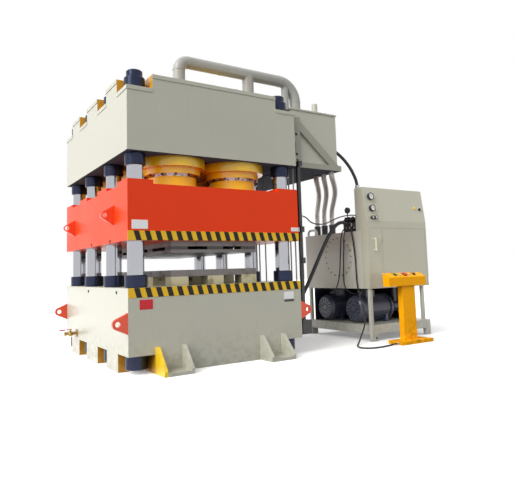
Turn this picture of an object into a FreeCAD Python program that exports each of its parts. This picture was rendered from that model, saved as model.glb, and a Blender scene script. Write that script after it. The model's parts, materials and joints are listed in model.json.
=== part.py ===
import FreeCAD, Part
import Sketcher
import math
import operator
import os

# Eight-column hydraulic press with its power unit and push-button pedestal.
# Millimetres. +X runs to the right along the press's front face, +Y to the rear, +Z up.
# The origin is the middle of the base's underside, on the floor.

V = FreeCAD.Vector
doc = FreeCAD.newDocument("HydraulicPress")
sheet = doc.addObject("Spreadsheet::Sheet", "Sizes")

# ---------------------------------------------------------------- driving sizes
DRIVING_SIZES = {
    # base, crown and platen share one outline
    "frame_width": 2410,
    "frame_depth": 2910,
    "base_height": 975,
    "platen_underside": 1515,
    "platen_height": 663,
    "boss_rise": 47,
    "crown_underside": 2560,
    "crown_height": 940,
    # recesses round the column ends, cut into the sides of base and crown
    "notch_width": 315,
    "corner_notch_length": 363,
    "mid_notch_length": 396,
    "mid_column_y": 460,
    "base_notch_height": 215,
    "crown_notch_depth": 175,
    "crown_plate": 50,
    "crown_lip": 6,
    # columns with their nuts and collars
    "column_radius": 100,
    "column_foot": 40,
    "column_chamfer": 8,
    "column_clearance": 0.25,
    "nut_radius": 125,
    "nut_height": 155,
    "nut_cap_radius": 98,
    "nut_cap_height": 244,
    "nut_cap_wall": 15,
    "nut_cap_bevel": 14,
    "foot_nut_radius": 130,
    "foot_nut_height": 165,
    "nut_chamfer": 10,
    "upper_collar_height": 150,
    "lower_collar_height": 145,
    "bush_wall": 22,
    "bush_clearance": 0.3,
    "bush_lip": 6,
    # cylinders and rams
    "cylinder_x": 446,
    "cylinder_row": 975,
    "barrel_radius": 345,
    "barrel_clearance": 0.5,
    "flange_radius": 430,
    "flange_height": 120,
    "gland_radius": 365,
    "gland_height": 80,
    "head_radius": 300,
    "head_rise": 60,
    "head_nut_radius": 395,
    "head_nut_height": 32,
    "ram_radius": 255,
    "ram_clearance": 0.3,
    "ram_length": 900,
    "ram_flange_radius": 310,
    "ram_flange_height": 152,
    "gland_bolt_circle": 340,
    "gland_bolt_flats": 26,
    "gland_bolt_head": 24,
    "gland_bolt_count": 12,
    # lifting lugs
    "base_lug_root": 240,
    "base_lug_z": 583,
    "base_lug_reach": 115,
    "base_lug_tip": 62,
    "platen_lug_root": 242,
    "platen_lug_z": 1846,
    "platen_lug_reach": 118,
    "platen_lug_tip": 45,
    "platen_lug_y": 948,
    "lug_hole_radius": 31,
    "lug_thickness": 40,
    # striped edge strips
    "strip_height": 110,
    "strip_backing": 2,
    "strip_bar": 1,
    "strip_pitch": 130,
    # foot brackets
    "bracket_inset": 497.5,
    "bracket_length": 365,
    "bracket_reach": 270,
    "bracket_plate": 38,
    "bracket_top": 300,
    "bracket_ledge": 55,
    "bracket_nose": 20,
    "gusset_thickness": 40,
    "anchor_hole_radius": 18,
    # tooling
    "die_width": 1220,
    "die_depth": 2560,
    "lower_spacer_height": 110,
    "lower_plate_height": 80,
    "spacer_length": 230,
    "spacer_width": 180,
    "spacer_rows": 5,
    "upper_bolster_height": 60,
    "upper_spacer_height": 40,
    "upper_plate_height": 40,
    # wide pipe and tank at the crown's right side
    "pipe_radius": 82.5,
    "pipe_stub_a_x": -325,
    "pipe_stub_bend": 130,
    "pipe_stub_b_x": 757,
    "valve_housing_height": 68,
    "valve_housing_width": 240,
    "pipe_y": -975,
    "pipe_axis_z": 3948,
    "pipe_down_inset": 347,
    "pipe_bend": 290,
    "pipe_flange_radius": 135,
    "pipe_flange_height": 28,
    "riser_radius": 55,
    "riser_inset": 165,
    "tank_gap": 40,
    "tank_width": 835,
    "tank_front_y": -1325,
    "tank_depth": 2370,
    "tank_floor": 2650,
    "tank_height": 785,
    "lid_lip": 12,
    "lid_thickness": 22,
    "breather_radius": 45,
    "breather_height": 205,
    "breather_inset": 635,
    "breather_back": 237,
    "post_gap": 77,
    "post_width": 93,
    "post_top": 3300,
    "tank_beam_height": 80,
    "brace_depth": 150,
    "bracket_pad_low": 60,
    "bracket_pad_high": 360,
    "tank_beam_reach": 840,
    "bracket_bar": 40,
    # return pipes and their ribbed couplings
    "return_radius": 39,
    "bellows_radius": 58,
    "return_top_inset": 60,
    "return_foot_inset": 210,
    "bridge_radius": 20,
    "bridge_rise": 100,
    "bridge_inset": 45,
    "bridge_bend": 60,
    "bellows_height": 160,
    "bellows_ribs": 6,
    # position switches
    "rail_gap": 57,
    "rail_y": -1412,
    "rail_width": 48,
    "rail_depth": 40,
    "rail_foot": 250,
    "rail_top": 2640,
    "side_line_radius": 10,
    "side_line_gap": 60,
    "side_line_foot": 330,
    "side_line_top": 2620,
    # power unit
    "unit_x": 2635,
    "unit_width": 1360,
    "unit_front": -1313,
    "unit_depth": 1535,
    "tank_bottom": 800,
    "oil_tank_top": 1705,
    "oil_tank_front": -1175,
    "cover_y": -633,
    "cover_z": 1311,
    "cover_radius": 335,
    "cover_thickness": 10,
    "cover_bolt_circle": 308,
    "cover_bolt_flats": 22,
    "cover_bolt_head": 8,
    "cover_bolts": 20,
    "leg_size": 50,
    "leg_inset": 20,
    "leg_right_inset": 115,
    "skid_foot": 125,
    "skid_rail_bottom": 110,
    "skid_rail_height": 125,
    "cabinet_knee": 1850,
    "cabinet_top": 2385,
    "cabinet_slant": 68,
    "cabinet_upper_depth": 240,
    "cabinet_wall": 12,
    "door_margin": 62,
    "door_width": 222,
    "door_foot": 20,
    "door_height": 920,
    "cover_margin": 320,
    "seam_width": 6,
    "seam_depth": 6,
    "door_thickness": 22,
    "door_gap": 2,
    "handle_offset": 75,
    "handle_z": 1479,
    "handle_length": 202,
    "handle_radius": 9,
    "handle_stand": 45,
    "hinge_radius": 8,
    "hinge_pin_radius": 4,
    "hinge_pin_clearance": 0.08,
    "hinge_knuckle": 45,
    "hinge_gap": 0.3,
    "hinge_leaf": 3,
    "hinge_wing": 26,
    "motor_radius": 212,
    "motor_length": 700,
    "motor_centre": 467,
    "motor_rear_y": -105,
    "motor_front_y": -815,
    "motor_x": 2740,
    "motor_fins": 24,
    "motor_fin": 16,
    "motor_hood": 150,
    "motor_shoulder": 45,
    "grille_rows": 16,
    "terminal_size": 190,
    "terminal_height": 105,
    "terminal_offset": 200,
    "terminal_sink": 30,
    "pump_radius": 92,
    "pump_length": 230,
    "pump_cover": 40,
    "bell_length": 130,
    "suction_radius": 52,
    "tray_thickness": 8,
    "guard_thickness": 6,
    "guard_gap": 6,
    "guard_back": 113,
    "guard_front": -1045,
    "guard_side": 3852,
    # drain valve
    "drain_y": 795,
    "drain_z": 300,
    # valve block on the oil tank
    "manifold_inset": 30,
    "manifold_gap": 40,
    "manifold_length": 170,
    "manifold_depth": 280,
    "manifold_height": 150,
    "valve_rows": 3,
    "valve_pitch": 80,
    "valve_width": 62,
    "valve_height": 80,
    "coil_radius": 25,
    "coil_reach": 20,
    "plug_radius": 12,
    "plug_reach": 40,
    "gauge_radius": 50,
    "gauge_stem": 170,
    "gauge_inset": 18,
    # pedestal
    "stand_x": 3007.5,
    "stand_y": -1735,
    "stand_width": 655,
    "stand_depth": 280,
    "stand_plate": 50,
    "stand_column_x": 2972.5,
    "stand_column_width": 265,
    "stand_column_depth": 95,
    "head_x": 2940,
    "head_width": 790,
    "head_front": -1800,
    "head_depth": 122,
    "head_bottom": 840,
    "head_front_top": 970,
    "head_rear_top": 1034,
    "button_radius": 22,
    "button_travel": 8,
    "button_cap": 13,
    "stop_radius": 34,
    "lamp_radius": 13,
    "lamp_height": 10,
    "stem_radius": 12,
    "stem_depth": 22,
    "stem_clearance": 0.3,
    # free hoses and cables
    "pressure_hose_radius": 27.5,
    "cabinet_hose_radius": 24,
    "cable_radius": 9,
    "stand_cable_radius": 11.5,
}


class Size:
    """A number together with the spreadsheet expression that gives it."""

    def __init__(self, number, text=None):
        self.number = float(number)
        self.text = text if text else "(" + repr(float(number)) + ")"

    def __float__(self):
        return self.number

    def __add__(self, other):
        return combine(self, "+", other)

    def __radd__(self, other):
        return combine(other, "+", self)

    def __sub__(self, other):
        return combine(self, "-", other)

    def __rsub__(self, other):
        return combine(other, "-", self)

    def __mul__(self, other):
        return combine(self, "*", other)

    def __rmul__(self, other):
        return combine(other, "*", self)

    def __truediv__(self, other):
        return combine(self, "/", other)

    def __neg__(self):
        return combine(-1, "*", self)


OPERATIONS = {"+": operator.add, "-": operator.sub, "*": operator.mul, "/": operator.truediv}


def as_size(value):
    return value if isinstance(value, Size) else Size(value)


def whole(value):
    return Size(math.floor(value.number), "floor(" + value.text + ")")


def combine(left, sign, right):
    left, right = as_size(left), as_size(right)
    number = OPERATIONS[sign](left.number, right.number)
    return Size(number, "(" + left.text + " " + sign + " " + right.text + ")")


class Sheet:
    """Each driving size by name, as S.name."""


S = Sheet()
for row, (size_name, size_value) in enumerate(DRIVING_SIZES.items(), start=1):
    sheet.set("A" + str(row), size_name)
    sheet.set("B" + str(row), str(size_value))
    sheet.setAlias("B" + str(row), size_name)
    setattr(S, size_name, Size(size_value, "Sizes." + size_name))
doc.recompute()

# ---------------------------------------------------------------- tools of the model
ALONG_X = FreeCAD.Rotation(V(0, 1, 0), 90)
ALONG_Y = FreeCAD.Rotation(V(1, 0, 0), -90)
UPRIGHT = FreeCAD.Rotation()
nodes = {}


def tie(item, name, size):
    item.setExpression(name, as_size(size).text)


def seat(item, at, turn=UPRIGHT):
    item.Placement = FreeCAD.Placement(V(), turn)
    for axis, size in zip("xyz", at):
        tie(item, "Placement.Base." + axis, size)
    return item


def box(length, width, height, at, turn=UPRIGHT):
    item = doc.addObject("Part::Box", "Block")
    tie(item, "Length", length)
    tie(item, "Width", width)
    tie(item, "Height", height)
    return seat(item, at, turn)


def rod(radius, height, at, turn=UPRIGHT):
    item = doc.addObject("Part::Cylinder", "Rod")
    tie(item, "Radius", radius)
    tie(item, "Height", height)
    return seat(item, at, turn)


def ball(radius, at):
    item = doc.addObject("Part::Sphere", "Ball")
    tie(item, "Radius", radius)
    return seat(item, at)


def cone(foot_radius, top_radius, height, at, turn=UPRIGHT):
    item = doc.addObject("Part::Cone", "Cone")
    tie(item, "Radius1", foot_radius)
    tie(item, "Radius2", top_radius)
    tie(item, "Height", height)
    return seat(item, at, turn)


def hexagon(flats, height, at, turn=UPRIGHT):
    item = doc.addObject("Part::Prism", "Hexagon")
    item.Polygon = 6
    tie(item, "Circumradius", flats / math.sqrt(3))
    tie(item, "Height", height)
    return seat(item, at, turn)


def fuse(pieces):
    item = doc.addObject("Part::MultiFuse", "Joined")
    item.Shapes = pieces
    return item


def group(pieces):
    item = doc.addObject("Part::Compound", "Group")
    item.Links = pieces
    return item


def cut(base, tools):
    item = doc.addObject("Part::Cut", "Opened")
    item.Base = base
    item.Tool = tools[0] if len(tools) == 1 else fuse(tools)
    return item


def made(shape):
    item = doc.addObject("Part::Feature", "Formed")
    item.Shape = shape
    return item


def node(name, item):
    item.Label = name
    nodes[name] = item
    return item


def origin_plane(body, role):
    return [part for part in body.Origin.OriginFeatures if part.Role == role][0]


def new_body(at=(0, 0, 0), turn=UPRIGHT):
    body = doc.addObject("PartDesign::Body", "Body")
    seat(body, at, turn)
    return body


def sketch(body, role, polygons=(), circles=(), offset=0):
    """Closed polygons and circles, each corner and centre tied to its own two sizes."""
    item = body.newObject("Sketcher::SketchObject", "Sketch")
    item.AttachmentSupport = [(origin_plane(body, role), "")]
    item.MapMode = "FlatFace"
    tie(item, "AttachmentOffset.Base.z", offset)
    for corners in polygons:
        draw_polygon(item, corners)
    for centre_x, centre_y, radius in circles:
        draw_circle(item, centre_x, centre_y, radius)
    return item


def pin_point(item, line, end, x, y):
    for kind, size in (("DistanceX", x), ("DistanceY", y)):
        number = float(as_size(size))
        rule = item.addConstraint(Sketcher.Constraint(kind, -1, 1, line, end, number))
        tie(item, "Constraints[" + str(rule) + "]", size)


def draw_polygon(item, corners):
    points = [V(float(as_size(x)), float(as_size(y)), 0) for x, y in corners]
    first = None
    for index, point in enumerate(points):
        line = item.addGeometry(Part.LineSegment(point, points[(index + 1) % len(points)]), False)
        first = line if first is None else first
        if index:
            item.addConstraint(Sketcher.Constraint("Coincident", line - 1, 2, line, 1))
        pin_point(item, line, 1, *corners[index])
    item.addConstraint(Sketcher.Constraint("Coincident", line, 2, first, 1))


def draw_circle(item, x, y, radius):
    centre = V(float(as_size(x)), float(as_size(y)), 0)
    circle = item.addGeometry(Part.Circle(centre, V(0, 0, 1), float(as_size(radius))), False)
    pin_point(item, circle, 3, x, y)
    rule = item.addConstraint(Sketcher.Constraint("Radius", circle, float(as_size(radius))))
    tie(item, "Constraints[" + str(rule) + "]", radius)


def rectangle(left, front, right, back):
    return [(left, front), (right, front), (right, back), (left, back)]


def pad(body, profile, length, reverse=False):
    item = body.newObject("PartDesign::Pad", "Pad")
    item.Profile = profile
    tie(item, "Length", length)
    item.Reversed = reverse
    return item


def pocket(body, profile, length, reverse=False):
    item = body.newObject("PartDesign::Pocket", "Pocket")
    item.Profile = profile
    tie(item, "Length", length)
    item.Reversed = reverse
    return item


def turned(profile, at=(0, 0, 0), turn=UPRIGHT):
    """A body of revolution about its own Z axis; the profile's corners are (radius, height)."""
    body = new_body(at, turn)
    outline = sketch(body, "XZ_Plane", [profile])
    item = body.newObject("PartDesign::Revolution", "Revolution")
    item.Profile = outline
    item.ReferenceAxis = (outline, ["V_Axis"])
    item.Angle = 360
    return body


def repeat_round(body, feature, count):
    item = body.newObject("PartDesign::PolarPattern", "Round")
    item.Originals = [feature]
    item.Axis = (origin_plane(body, "Z_Axis"), [""])
    item.Angle = 360
    tie(item, "Occurrences", count)
    body.Tip = item
    return item


def repeat_along(body, feature, axis_role, length, count):
    item = body.newObject("PartDesign::LinearPattern", "Row")
    item.Originals = [feature]
    item.Direction = (origin_plane(body, axis_role), [""])
    tie(item, "Length", length)
    tie(item, "Occurrences", count)
    body.Tip = item
    return item


# ---------------------------------------------------------------- shared places
HALF_WIDTH = S.frame_width / 2
HALF_DEPTH = S.frame_depth / 2
COLUMN_X = HALF_WIDTH - S.notch_width / 2
END_COLUMN_Y = HALF_DEPTH - S.corner_notch_length / 2
CROWN_TOP = S.crown_underside + S.crown_height
PLATEN_TOP = S.platen_underside + S.platen_height
CROWN_SHELF = CROWN_TOP - S.crown_notch_depth
NUT_SEAT = 3
FITTING_GAP = 0.3
NUT_BORE_END = S.nut_height - S.nut_cap_wall
COLUMN_TOP = CROWN_SHELF + NUT_BORE_END - NUT_SEAT
TANK_LEFT = HALF_WIDTH + S.tank_gap
RAIL_LEFT = HALF_WIDTH + S.rail_gap
FRONT = -HALF_DEPTH

COLUMNS = [(side * COLUMN_X, y) for side in (-1, 1)
           for y in (-END_COLUMN_Y, -S.mid_column_y, as_size(S.mid_column_y), as_size(END_COLUMN_Y))]
CYLINDERS = [(side * S.cylinder_x, row * S.cylinder_row) for row in (-1, 0, 1) for side in (-1, 1)]


def notch_outlines(lip=0):
    """The eight recesses in plan, four on each side; lip carries them past the outer faces."""
    outlines = []
    for side in (-1, 1):
        inner = side * (HALF_WIDTH - S.notch_width)
        outer = side * (HALF_WIDTH + lip)
        left, right = (outer, inner) if side < 0 else (inner, outer)
        for end in (-1, 1):
            near = end * (HALF_DEPTH - S.corner_notch_length)
            far = end * (HALF_DEPTH + lip)
            front, back = (far, near) if end < 0 else (near, far)
            outlines.append(rectangle(left, front, right, back))
            middle = end * S.mid_column_y
            half = S.mid_notch_length / 2
            outlines.append(rectangle(left, middle - half, right, middle + half))
    return outlines


def frame_outline(lip=0):
    across = HALF_WIDTH + lip
    along = HALF_DEPTH + lip
    return rectangle(-across, -along, across, along)


# ---------------------------------------------------------------- base
def make_base():
    body = new_body()
    pad(body, sketch(body, "XY_Plane", [frame_outline()]), S.base_height)
    pocket(body, sketch(body, "XY_Plane", notch_outlines()), S.base_notch_height, reverse=True)
    bores = [(x, y, S.column_radius + S.column_clearance) for x, y in COLUMNS]
    pocket(body, sketch(body, "XY_Plane", circles=bores), S.base_height, reverse=True)
    node("base_frame", body)


def make_foot_brackets():
    for name, side in (("foot_bracket_left", -1), ("foot_bracket_right", 1)):
        centre = side * (HALF_WIDTH - S.bracket_inset)
        left = centre - S.bracket_length / 2
        right = centre + S.bracket_length / 2
        body = new_body()
        plan = rectangle(left, FRONT - S.bracket_reach, right, FRONT)
        pad(body, sketch(body, "XY_Plane", [plan]), S.bracket_plate)
        cheek = [
            (FRONT, S.bracket_plate),
            (FRONT, S.bracket_top),
            (FRONT - S.bracket_ledge, S.bracket_top),
            (FRONT - S.bracket_reach, S.bracket_plate + S.bracket_nose),
            (FRONT - S.bracket_reach, S.bracket_plate),
        ]
        for start in (left, right - S.gusset_thickness):
            pad(body, sketch(body, "YZ_Plane", [cheek], offset=start), S.gusset_thickness)
        hole = (centre, FRONT - S.bracket_reach / 2, S.anchor_hole_radius)
        pocket(body, sketch(body, "XY_Plane", circles=[hole]), S.bracket_plate, reverse=True)
        node(name, body)


# ---------------------------------------------------------------- lifting lugs
def lug(side, y_front, z_middle, root, reach, tip_radius):
    """An ear on a side face: two straight flanks run tangent to a round tip with a hole."""
    wall = side * float(HALF_WIDTH)
    thickness = float(S.lug_thickness)
    half_root = float(root) / 2
    out = float(reach)
    tip = float(tip_radius)
    corner = V(0, 0, half_root)
    # a flank starts at the root's corner and touches the circle of the tip
    span = math.hypot(out, half_root)
    length = math.sqrt(span ** 2 - tip ** 2)
    heading = math.atan2(-half_root, out) + math.asin(tip / span)
    touch = V(corner.x + length * math.cos(heading), 0, corner.z + length * math.sin(heading))
    nose = V(out + tip, 0, 0)
    low_touch = V(touch.x, 0, -touch.z)
    low_corner = V(0, 0, -half_root)
    outline = Part.Wire([
        Part.LineSegment(low_corner, low_touch).toShape(),
        Part.Arc(low_touch, nose, touch).toShape(),
        Part.LineSegment(touch, corner).toShape(),
        Part.LineSegment(corner, low_corner).toShape(),
    ])
    plate = Part.Face(outline).extrude(V(0, thickness, 0))
    hole = Part.makeCylinder(float(S.lug_hole_radius), thickness, V(out, 0, 0), V(0, 1, 0))
    ear = plate.cut(hole)
    if side < 0:
        ear = ear.mirror(V(), V(1, 0, 0))
    ear.translate(V(wall, float(y_front), float(z_middle)))
    return ear


def make_lugs():
    ends = (FRONT, HALF_DEPTH - S.lug_thickness)
    base_ears = [lug(side, y, S.base_lug_z, S.base_lug_root, S.base_lug_reach, S.base_lug_tip)
                 for side in (-1, 1) for y in ends]
    node("base_lugs", made(Part.makeCompound(base_ears)))
    places = (-S.platen_lug_y - S.lug_thickness / 2, S.platen_lug_y - S.lug_thickness / 2)
    platen_ears = [
        lug(side, y, S.platen_lug_z, S.platen_lug_root, S.platen_lug_reach, S.platen_lug_tip)
        for side in (-1, 1) for y in places]
    node("platen_lugs", made(Part.makeCompound(platen_ears)))


# ---------------------------------------------------------------- crown
def make_crown():
    body = new_body(at=(0, 0, S.crown_underside))
    pad(body, sketch(body, "XY_Plane", [frame_outline()]), S.crown_height)
    # the top plate and the plates under the nuts stand a little proud of the walls
    lid = sketch(body, "XY_Plane", [frame_outline(S.crown_lip)], offset=S.crown_height - S.crown_plate)
    pad(body, lid, S.crown_plate)
    notches = notch_outlines(S.crown_lip)
    recess = sketch(body, "XY_Plane", notches, offset=S.crown_height)
    pocket(body, recess, S.crown_notch_depth)
    shelf_z = S.crown_height - S.crown_notch_depth - S.crown_plate
    pad(body, sketch(body, "XY_Plane", notches, offset=shelf_z), S.crown_plate)
    bores = [(x, y, S.column_radius + S.column_clearance) for x, y in COLUMNS]
    bores += [(x, y, S.barrel_radius + S.barrel_clearance) for x, y in CYLINDERS]
    pocket(body, sketch(body, "XY_Plane", circles=bores), S.crown_height, reverse=True)
    node("crown_frame", body)


# ---------------------------------------------------------------- columns, nuts and collars
def ring(outer, inner, height, at, chamfer):
    """A turned ring; both outer edges are bevelled."""
    profile = [
        (inner, 0),
        (outer - chamfer, 0),
        (outer, chamfer),
        (outer, height - chamfer),
        (outer - chamfer, height),
        (inner, height),
    ]
    return turned(profile, at)


def make_columns():
    length = COLUMN_TOP - S.column_foot
    bevel = S.column_chamfer
    profile = [
        (0, 0),
        (S.column_radius - bevel, 0),
        (S.column_radius, bevel),
        (S.column_radius, length - bevel),
        (S.column_radius - bevel, length),
        (0, length),
    ]
    half = len(COLUMNS) // 2
    for name, places in (("columns_left", COLUMNS[:half]), ("columns_right", COLUMNS[half:])):
        node(name, group([turned(profile, (x, y, S.column_foot)) for x, y in places]))


def make_nuts_and_collars():
    inner = S.column_radius + S.column_clearance
    nuts = []
    collars = []
    # the upper nuts are blind: a narrower crown closes each over its column's end
    cap = [
        (inner, 0),
        (S.nut_radius - S.nut_chamfer, 0),
        (S.nut_radius, S.nut_chamfer),
        (S.nut_radius, S.nut_height - S.nut_chamfer),
        (S.nut_radius - S.nut_chamfer, S.nut_height),
        (S.nut_cap_radius, S.nut_height),
        (S.nut_cap_radius, S.nut_cap_height - S.nut_cap_bevel),
        (S.nut_cap_radius - S.nut_cap_bevel, S.nut_cap_height),
        (0, S.nut_cap_height),
        (0, NUT_BORE_END),
        (inner, NUT_BORE_END),
    ]
    for x, y in COLUMNS:
        nuts.append(turned(cap, (x, y, CROWN_SHELF)))
        foot = (x, y, S.base_notch_height - S.foot_nut_height)
        nuts.append(ring(S.foot_nut_radius, inner, S.foot_nut_height, foot, S.nut_chamfer))
        upper = (x, y, S.crown_underside - S.upper_collar_height)
        collars.append(ring(S.nut_radius, inner, S.upper_collar_height, upper, S.nut_chamfer))
        lower = (x, y, S.base_height)
        collars.append(ring(S.foot_nut_radius, inner, S.lower_collar_height, lower, S.nut_chamfer))
    node("tie_nuts", group(nuts))
    node("column_collars", group(collars))


# ---------------------------------------------------------------- platen
def make_platen():
    body = new_body(at=(0, 0, S.platen_underside))
    pad(body, sketch(body, "XY_Plane", [frame_outline()]), S.platen_height)
    bosses = sketch(body, "XY_Plane", notch_outlines(), offset=S.platen_height)
    pad(body, bosses, S.boss_rise)
    bore = S.column_radius + S.bush_clearance + S.bush_wall
    bores = sketch(body, "XY_Plane", circles=[(x, y, bore) for x, y in COLUMNS])
    pocket(body, bores, S.platen_height + S.boss_rise, reverse=True)
    node("platen", body)
    bushes = []
    for x, y in COLUMNS:
        height = S.platen_height + S.boss_rise
        inner = S.column_radius + S.bush_clearance
        lip = bore + S.bush_wall
        profile = [
            (inner, 0),
            (bore, 0),
            (bore, height),
            (lip, height),
            (lip, height + S.bush_lip),
            (inner, height + S.bush_lip),
        ]
        bushes.append(turned(profile, (x, y, S.platen_underside)))
    node("guide_bushes", group(bushes))


def make_strip(name, top):
    """A striped edge strip: a thin backing with slanting raised bars."""
    body = new_body(at=(-HALF_WIDTH, FRONT, top - S.strip_height))
    outline = rectangle(0, 0, S.frame_width, S.strip_height)
    pad(body, sketch(body, "XZ_Plane", [outline]), S.strip_backing)
    half = S.strip_pitch / 2
    count = whole(S.frame_width / S.strip_pitch)
    margin = (S.frame_width - S.strip_pitch * count) / 2 + half / 2
    bar = [
        (margin + half / 2, 0),
        (margin + half / 2 + half, 0),
        (margin + half, S.strip_height),
        (margin, S.strip_height),
    ]
    raised = pad(body, sketch(body, "XZ_Plane", [bar]), S.strip_backing + S.strip_bar)
    repeat_along(body, raised, "X_Axis", S.strip_pitch * (count - 1), count)
    node(name, body)


# ---------------------------------------------------------------- cylinders and rams
def make_cylinders():
    bore = S.ram_radius + S.ram_clearance
    gland_z = S.crown_underside - S.flange_height - S.gland_height
    flange = S.gland_height + S.flange_height
    crown = flange + S.crown_height
    top = crown + S.head_rise
    cavity = flange + S.crown_height - S.head_rise
    profile = [
        (bore, 0),
        (S.gland_radius, 0),
        (S.gland_radius, S.gland_height),
        (S.flange_radius, S.gland_height),
        (S.flange_radius, flange),
        (S.barrel_radius, flange),
        (S.barrel_radius, crown),
        (S.head_radius, crown),
        (S.head_radius, top),
        (0, top),
        (0, cavity),
        (bore, cavity),
    ]
    head_nuts = []
    bolts = []
    for number, (x, y) in enumerate(CYLINDERS, start=1):
        node("cylinder_" + str(number), turned(profile, (x, y, gland_z)))
        at = (x, y, CROWN_TOP)
        inner = S.head_radius + S.column_clearance
        head_nuts.append(ring(S.head_nut_radius, inner, S.head_nut_height, at, S.nut_chamfer))
        for turn in range(int(S.gland_bolt_count.number)):
            angle = 2 * math.pi * (turn + 0.5) / S.gland_bolt_count.number
            bolt_x = x + S.gland_bolt_circle * math.cos(angle)
            bolt_y = y + S.gland_bolt_circle * math.sin(angle)
            place = (bolt_x, bolt_y, gland_z - S.gland_bolt_head)
            bolts.append(hexagon(S.gland_bolt_flats, S.gland_bolt_head, place))
    node("head_nuts", group(head_nuts))
    node("gland_bolts", group(bolts))


def make_rams():
    profile = [
        (0, 0),
        (S.ram_flange_radius, 0),
        (S.ram_flange_radius, S.ram_flange_height),
        (S.ram_radius, S.ram_flange_height),
        (S.ram_radius, S.ram_length),
        (0, S.ram_length),
    ]
    rams = [turned(profile, (x, y, PLATEN_TOP)) for x, y in CYLINDERS]
    node("rams", group(rams))


# ---------------------------------------------------------------- tooling
def make_tooling():
    left = -S.die_width / 2
    front = -S.die_depth / 2
    blocks = []
    uppers = []
    step = (S.die_depth - S.spacer_width) / (S.spacer_rows - 1)
    bolster_z = S.platen_underside - S.upper_bolster_height
    for row in range(int(S.spacer_rows.number)):
        y = front + step * row
        for x in (left, -S.spacer_length / 2, -left - S.spacer_length):
            at = (x, y, S.base_height)
            blocks.append(box(S.spacer_length, S.spacer_width, S.lower_spacer_height, at))
            at = (x, y, bolster_z - S.upper_spacer_height)
            uppers.append(box(S.spacer_length, S.spacer_width, S.upper_spacer_height, at))
    node("lower_spacers", group(blocks))
    node("upper_spacers", group(uppers))
    plate_z = S.base_height + S.lower_spacer_height
    node("lower_die_plate", box(S.die_width, S.die_depth, S.lower_plate_height, (left, front, plate_z)))
    node("upper_bolster", box(S.die_width, S.die_depth, S.upper_bolster_height, (left, front, bolster_z)))
    plate_z = bolster_z - S.upper_spacer_height - S.upper_plate_height
    node("upper_die_plate", box(S.die_width, S.die_depth, S.upper_plate_height, (left, front, plate_z)))


# ---------------------------------------------------------------- pipes and hoses
def spot(point):
    return V(*[float(as_size(value)) for value in point])


def rounded_path(points, bend):
    """Straight runs joined by tangent arcs; bend gives the radius at each inner corner."""
    points = [spot(point) for point in points]
    edges = []
    start = points[0]
    radii = []
    for index in range(1, len(points) - 1):
        corner = points[index]
        back = points[index - 1] - corner
        ahead = points[index + 1] - corner
        turn = math.pi - back.getAngle(ahead)
        radius = bend(back.Length, ahead.Length, turn)
        trim = radius * math.tan(turn / 2)
        back.normalize()
        ahead.normalize()
        arc_start = corner + back * trim
        arc_end = corner + ahead * trim
        middle = (back + ahead).normalize()
        middle = corner + middle * (radius / math.cos(turn / 2) - radius)
        edges.append(Part.LineSegment(start, arc_start).toShape())
        edges.append(Part.Arc(arc_start, middle, arc_end).toShape())
        start = arc_end
        radii.append(radius)
    edges.append(Part.LineSegment(start, points[-1]).toShape())
    return Part.Wire(edges), radii


def tube(path, radius):
    start = path.Vertexes[0].Point
    heading = path.Edges[0].tangentAt(path.Edges[0].FirstParameter)
    section = Part.Wire([Part.Circle(start, heading, float(as_size(radius))).toShape()])
    return path.makePipeShell([section], True, False)


def fixed_bend(radius):
    return lambda back, ahead, turn: float(as_size(radius))


def loose_bend(back, ahead, turn):
    return 0.45 * min(back, ahead) / math.tan(turn / 2)


def cord(name, points, radius):
    """A free hose: its bends are as large as its runs allow. Prints what it measures."""
    path, radii = rounded_path(points, loose_bend)
    solid = tube(path, radius)
    section = math.pi * float(as_size(radius)) ** 2
    print(name, "length", round(path.Length), "mm, bend radii", [round(value) for value in radii])
    if abs(solid.Volume / (section * path.Length) - 1) > 0.01:
        raise ValueError(name + " does not have the volume of its section times its length")
    return solid


def make_prefill_pipe():
    z = S.pipe_axis_z
    down_x = TANK_LEFT + S.pipe_down_inset
    seat_z = CROWN_TOP + S.head_rise
    housing_z = seat_z + S.valve_housing_height
    tank_top = S.tank_floor + S.tank_height
    main = [
        (S.pipe_stub_a_x, S.pipe_y, housing_z),
        (S.pipe_stub_a_x, S.pipe_y, z),
        (down_x, S.pipe_y, z),
        (down_x, S.pipe_y, tank_top),
    ]

    def bend(back, ahead, turn):
        """Tight over the cylinder, where the run up to it is short, and wide over the tank."""
        return float(as_size(S.pipe_stub_bend if back < ahead else S.pipe_bend))

    pieces = [made(tube(rounded_path(main, bend)[0], S.pipe_radius))]
    at = (S.pipe_stub_b_x, S.pipe_y, housing_z)
    pieces.append(rod(S.pipe_radius, z - housing_z, at))
    half = S.valve_housing_width / 2
    for cylinder_x, stub_x in ((-S.cylinder_x, S.pipe_stub_a_x), (S.cylinder_x, S.pipe_stub_b_x)):
        at = (cylinder_x - half, S.pipe_y - half, seat_z)
        length = stub_x - cylinder_x + 2 * half
        pieces.append(box(length, S.valve_housing_width, S.valve_housing_height, at))
    at = (down_x, S.pipe_y, tank_top)
    pieces.append(rod(S.pipe_flange_radius, S.pipe_flange_height, at))
    at = (TANK_LEFT + S.riser_inset, S.pipe_y, tank_top)
    pieces.append(rod(S.riser_radius, z - tank_top, at))
    node("prefill_pipe", fuse(pieces))


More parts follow.
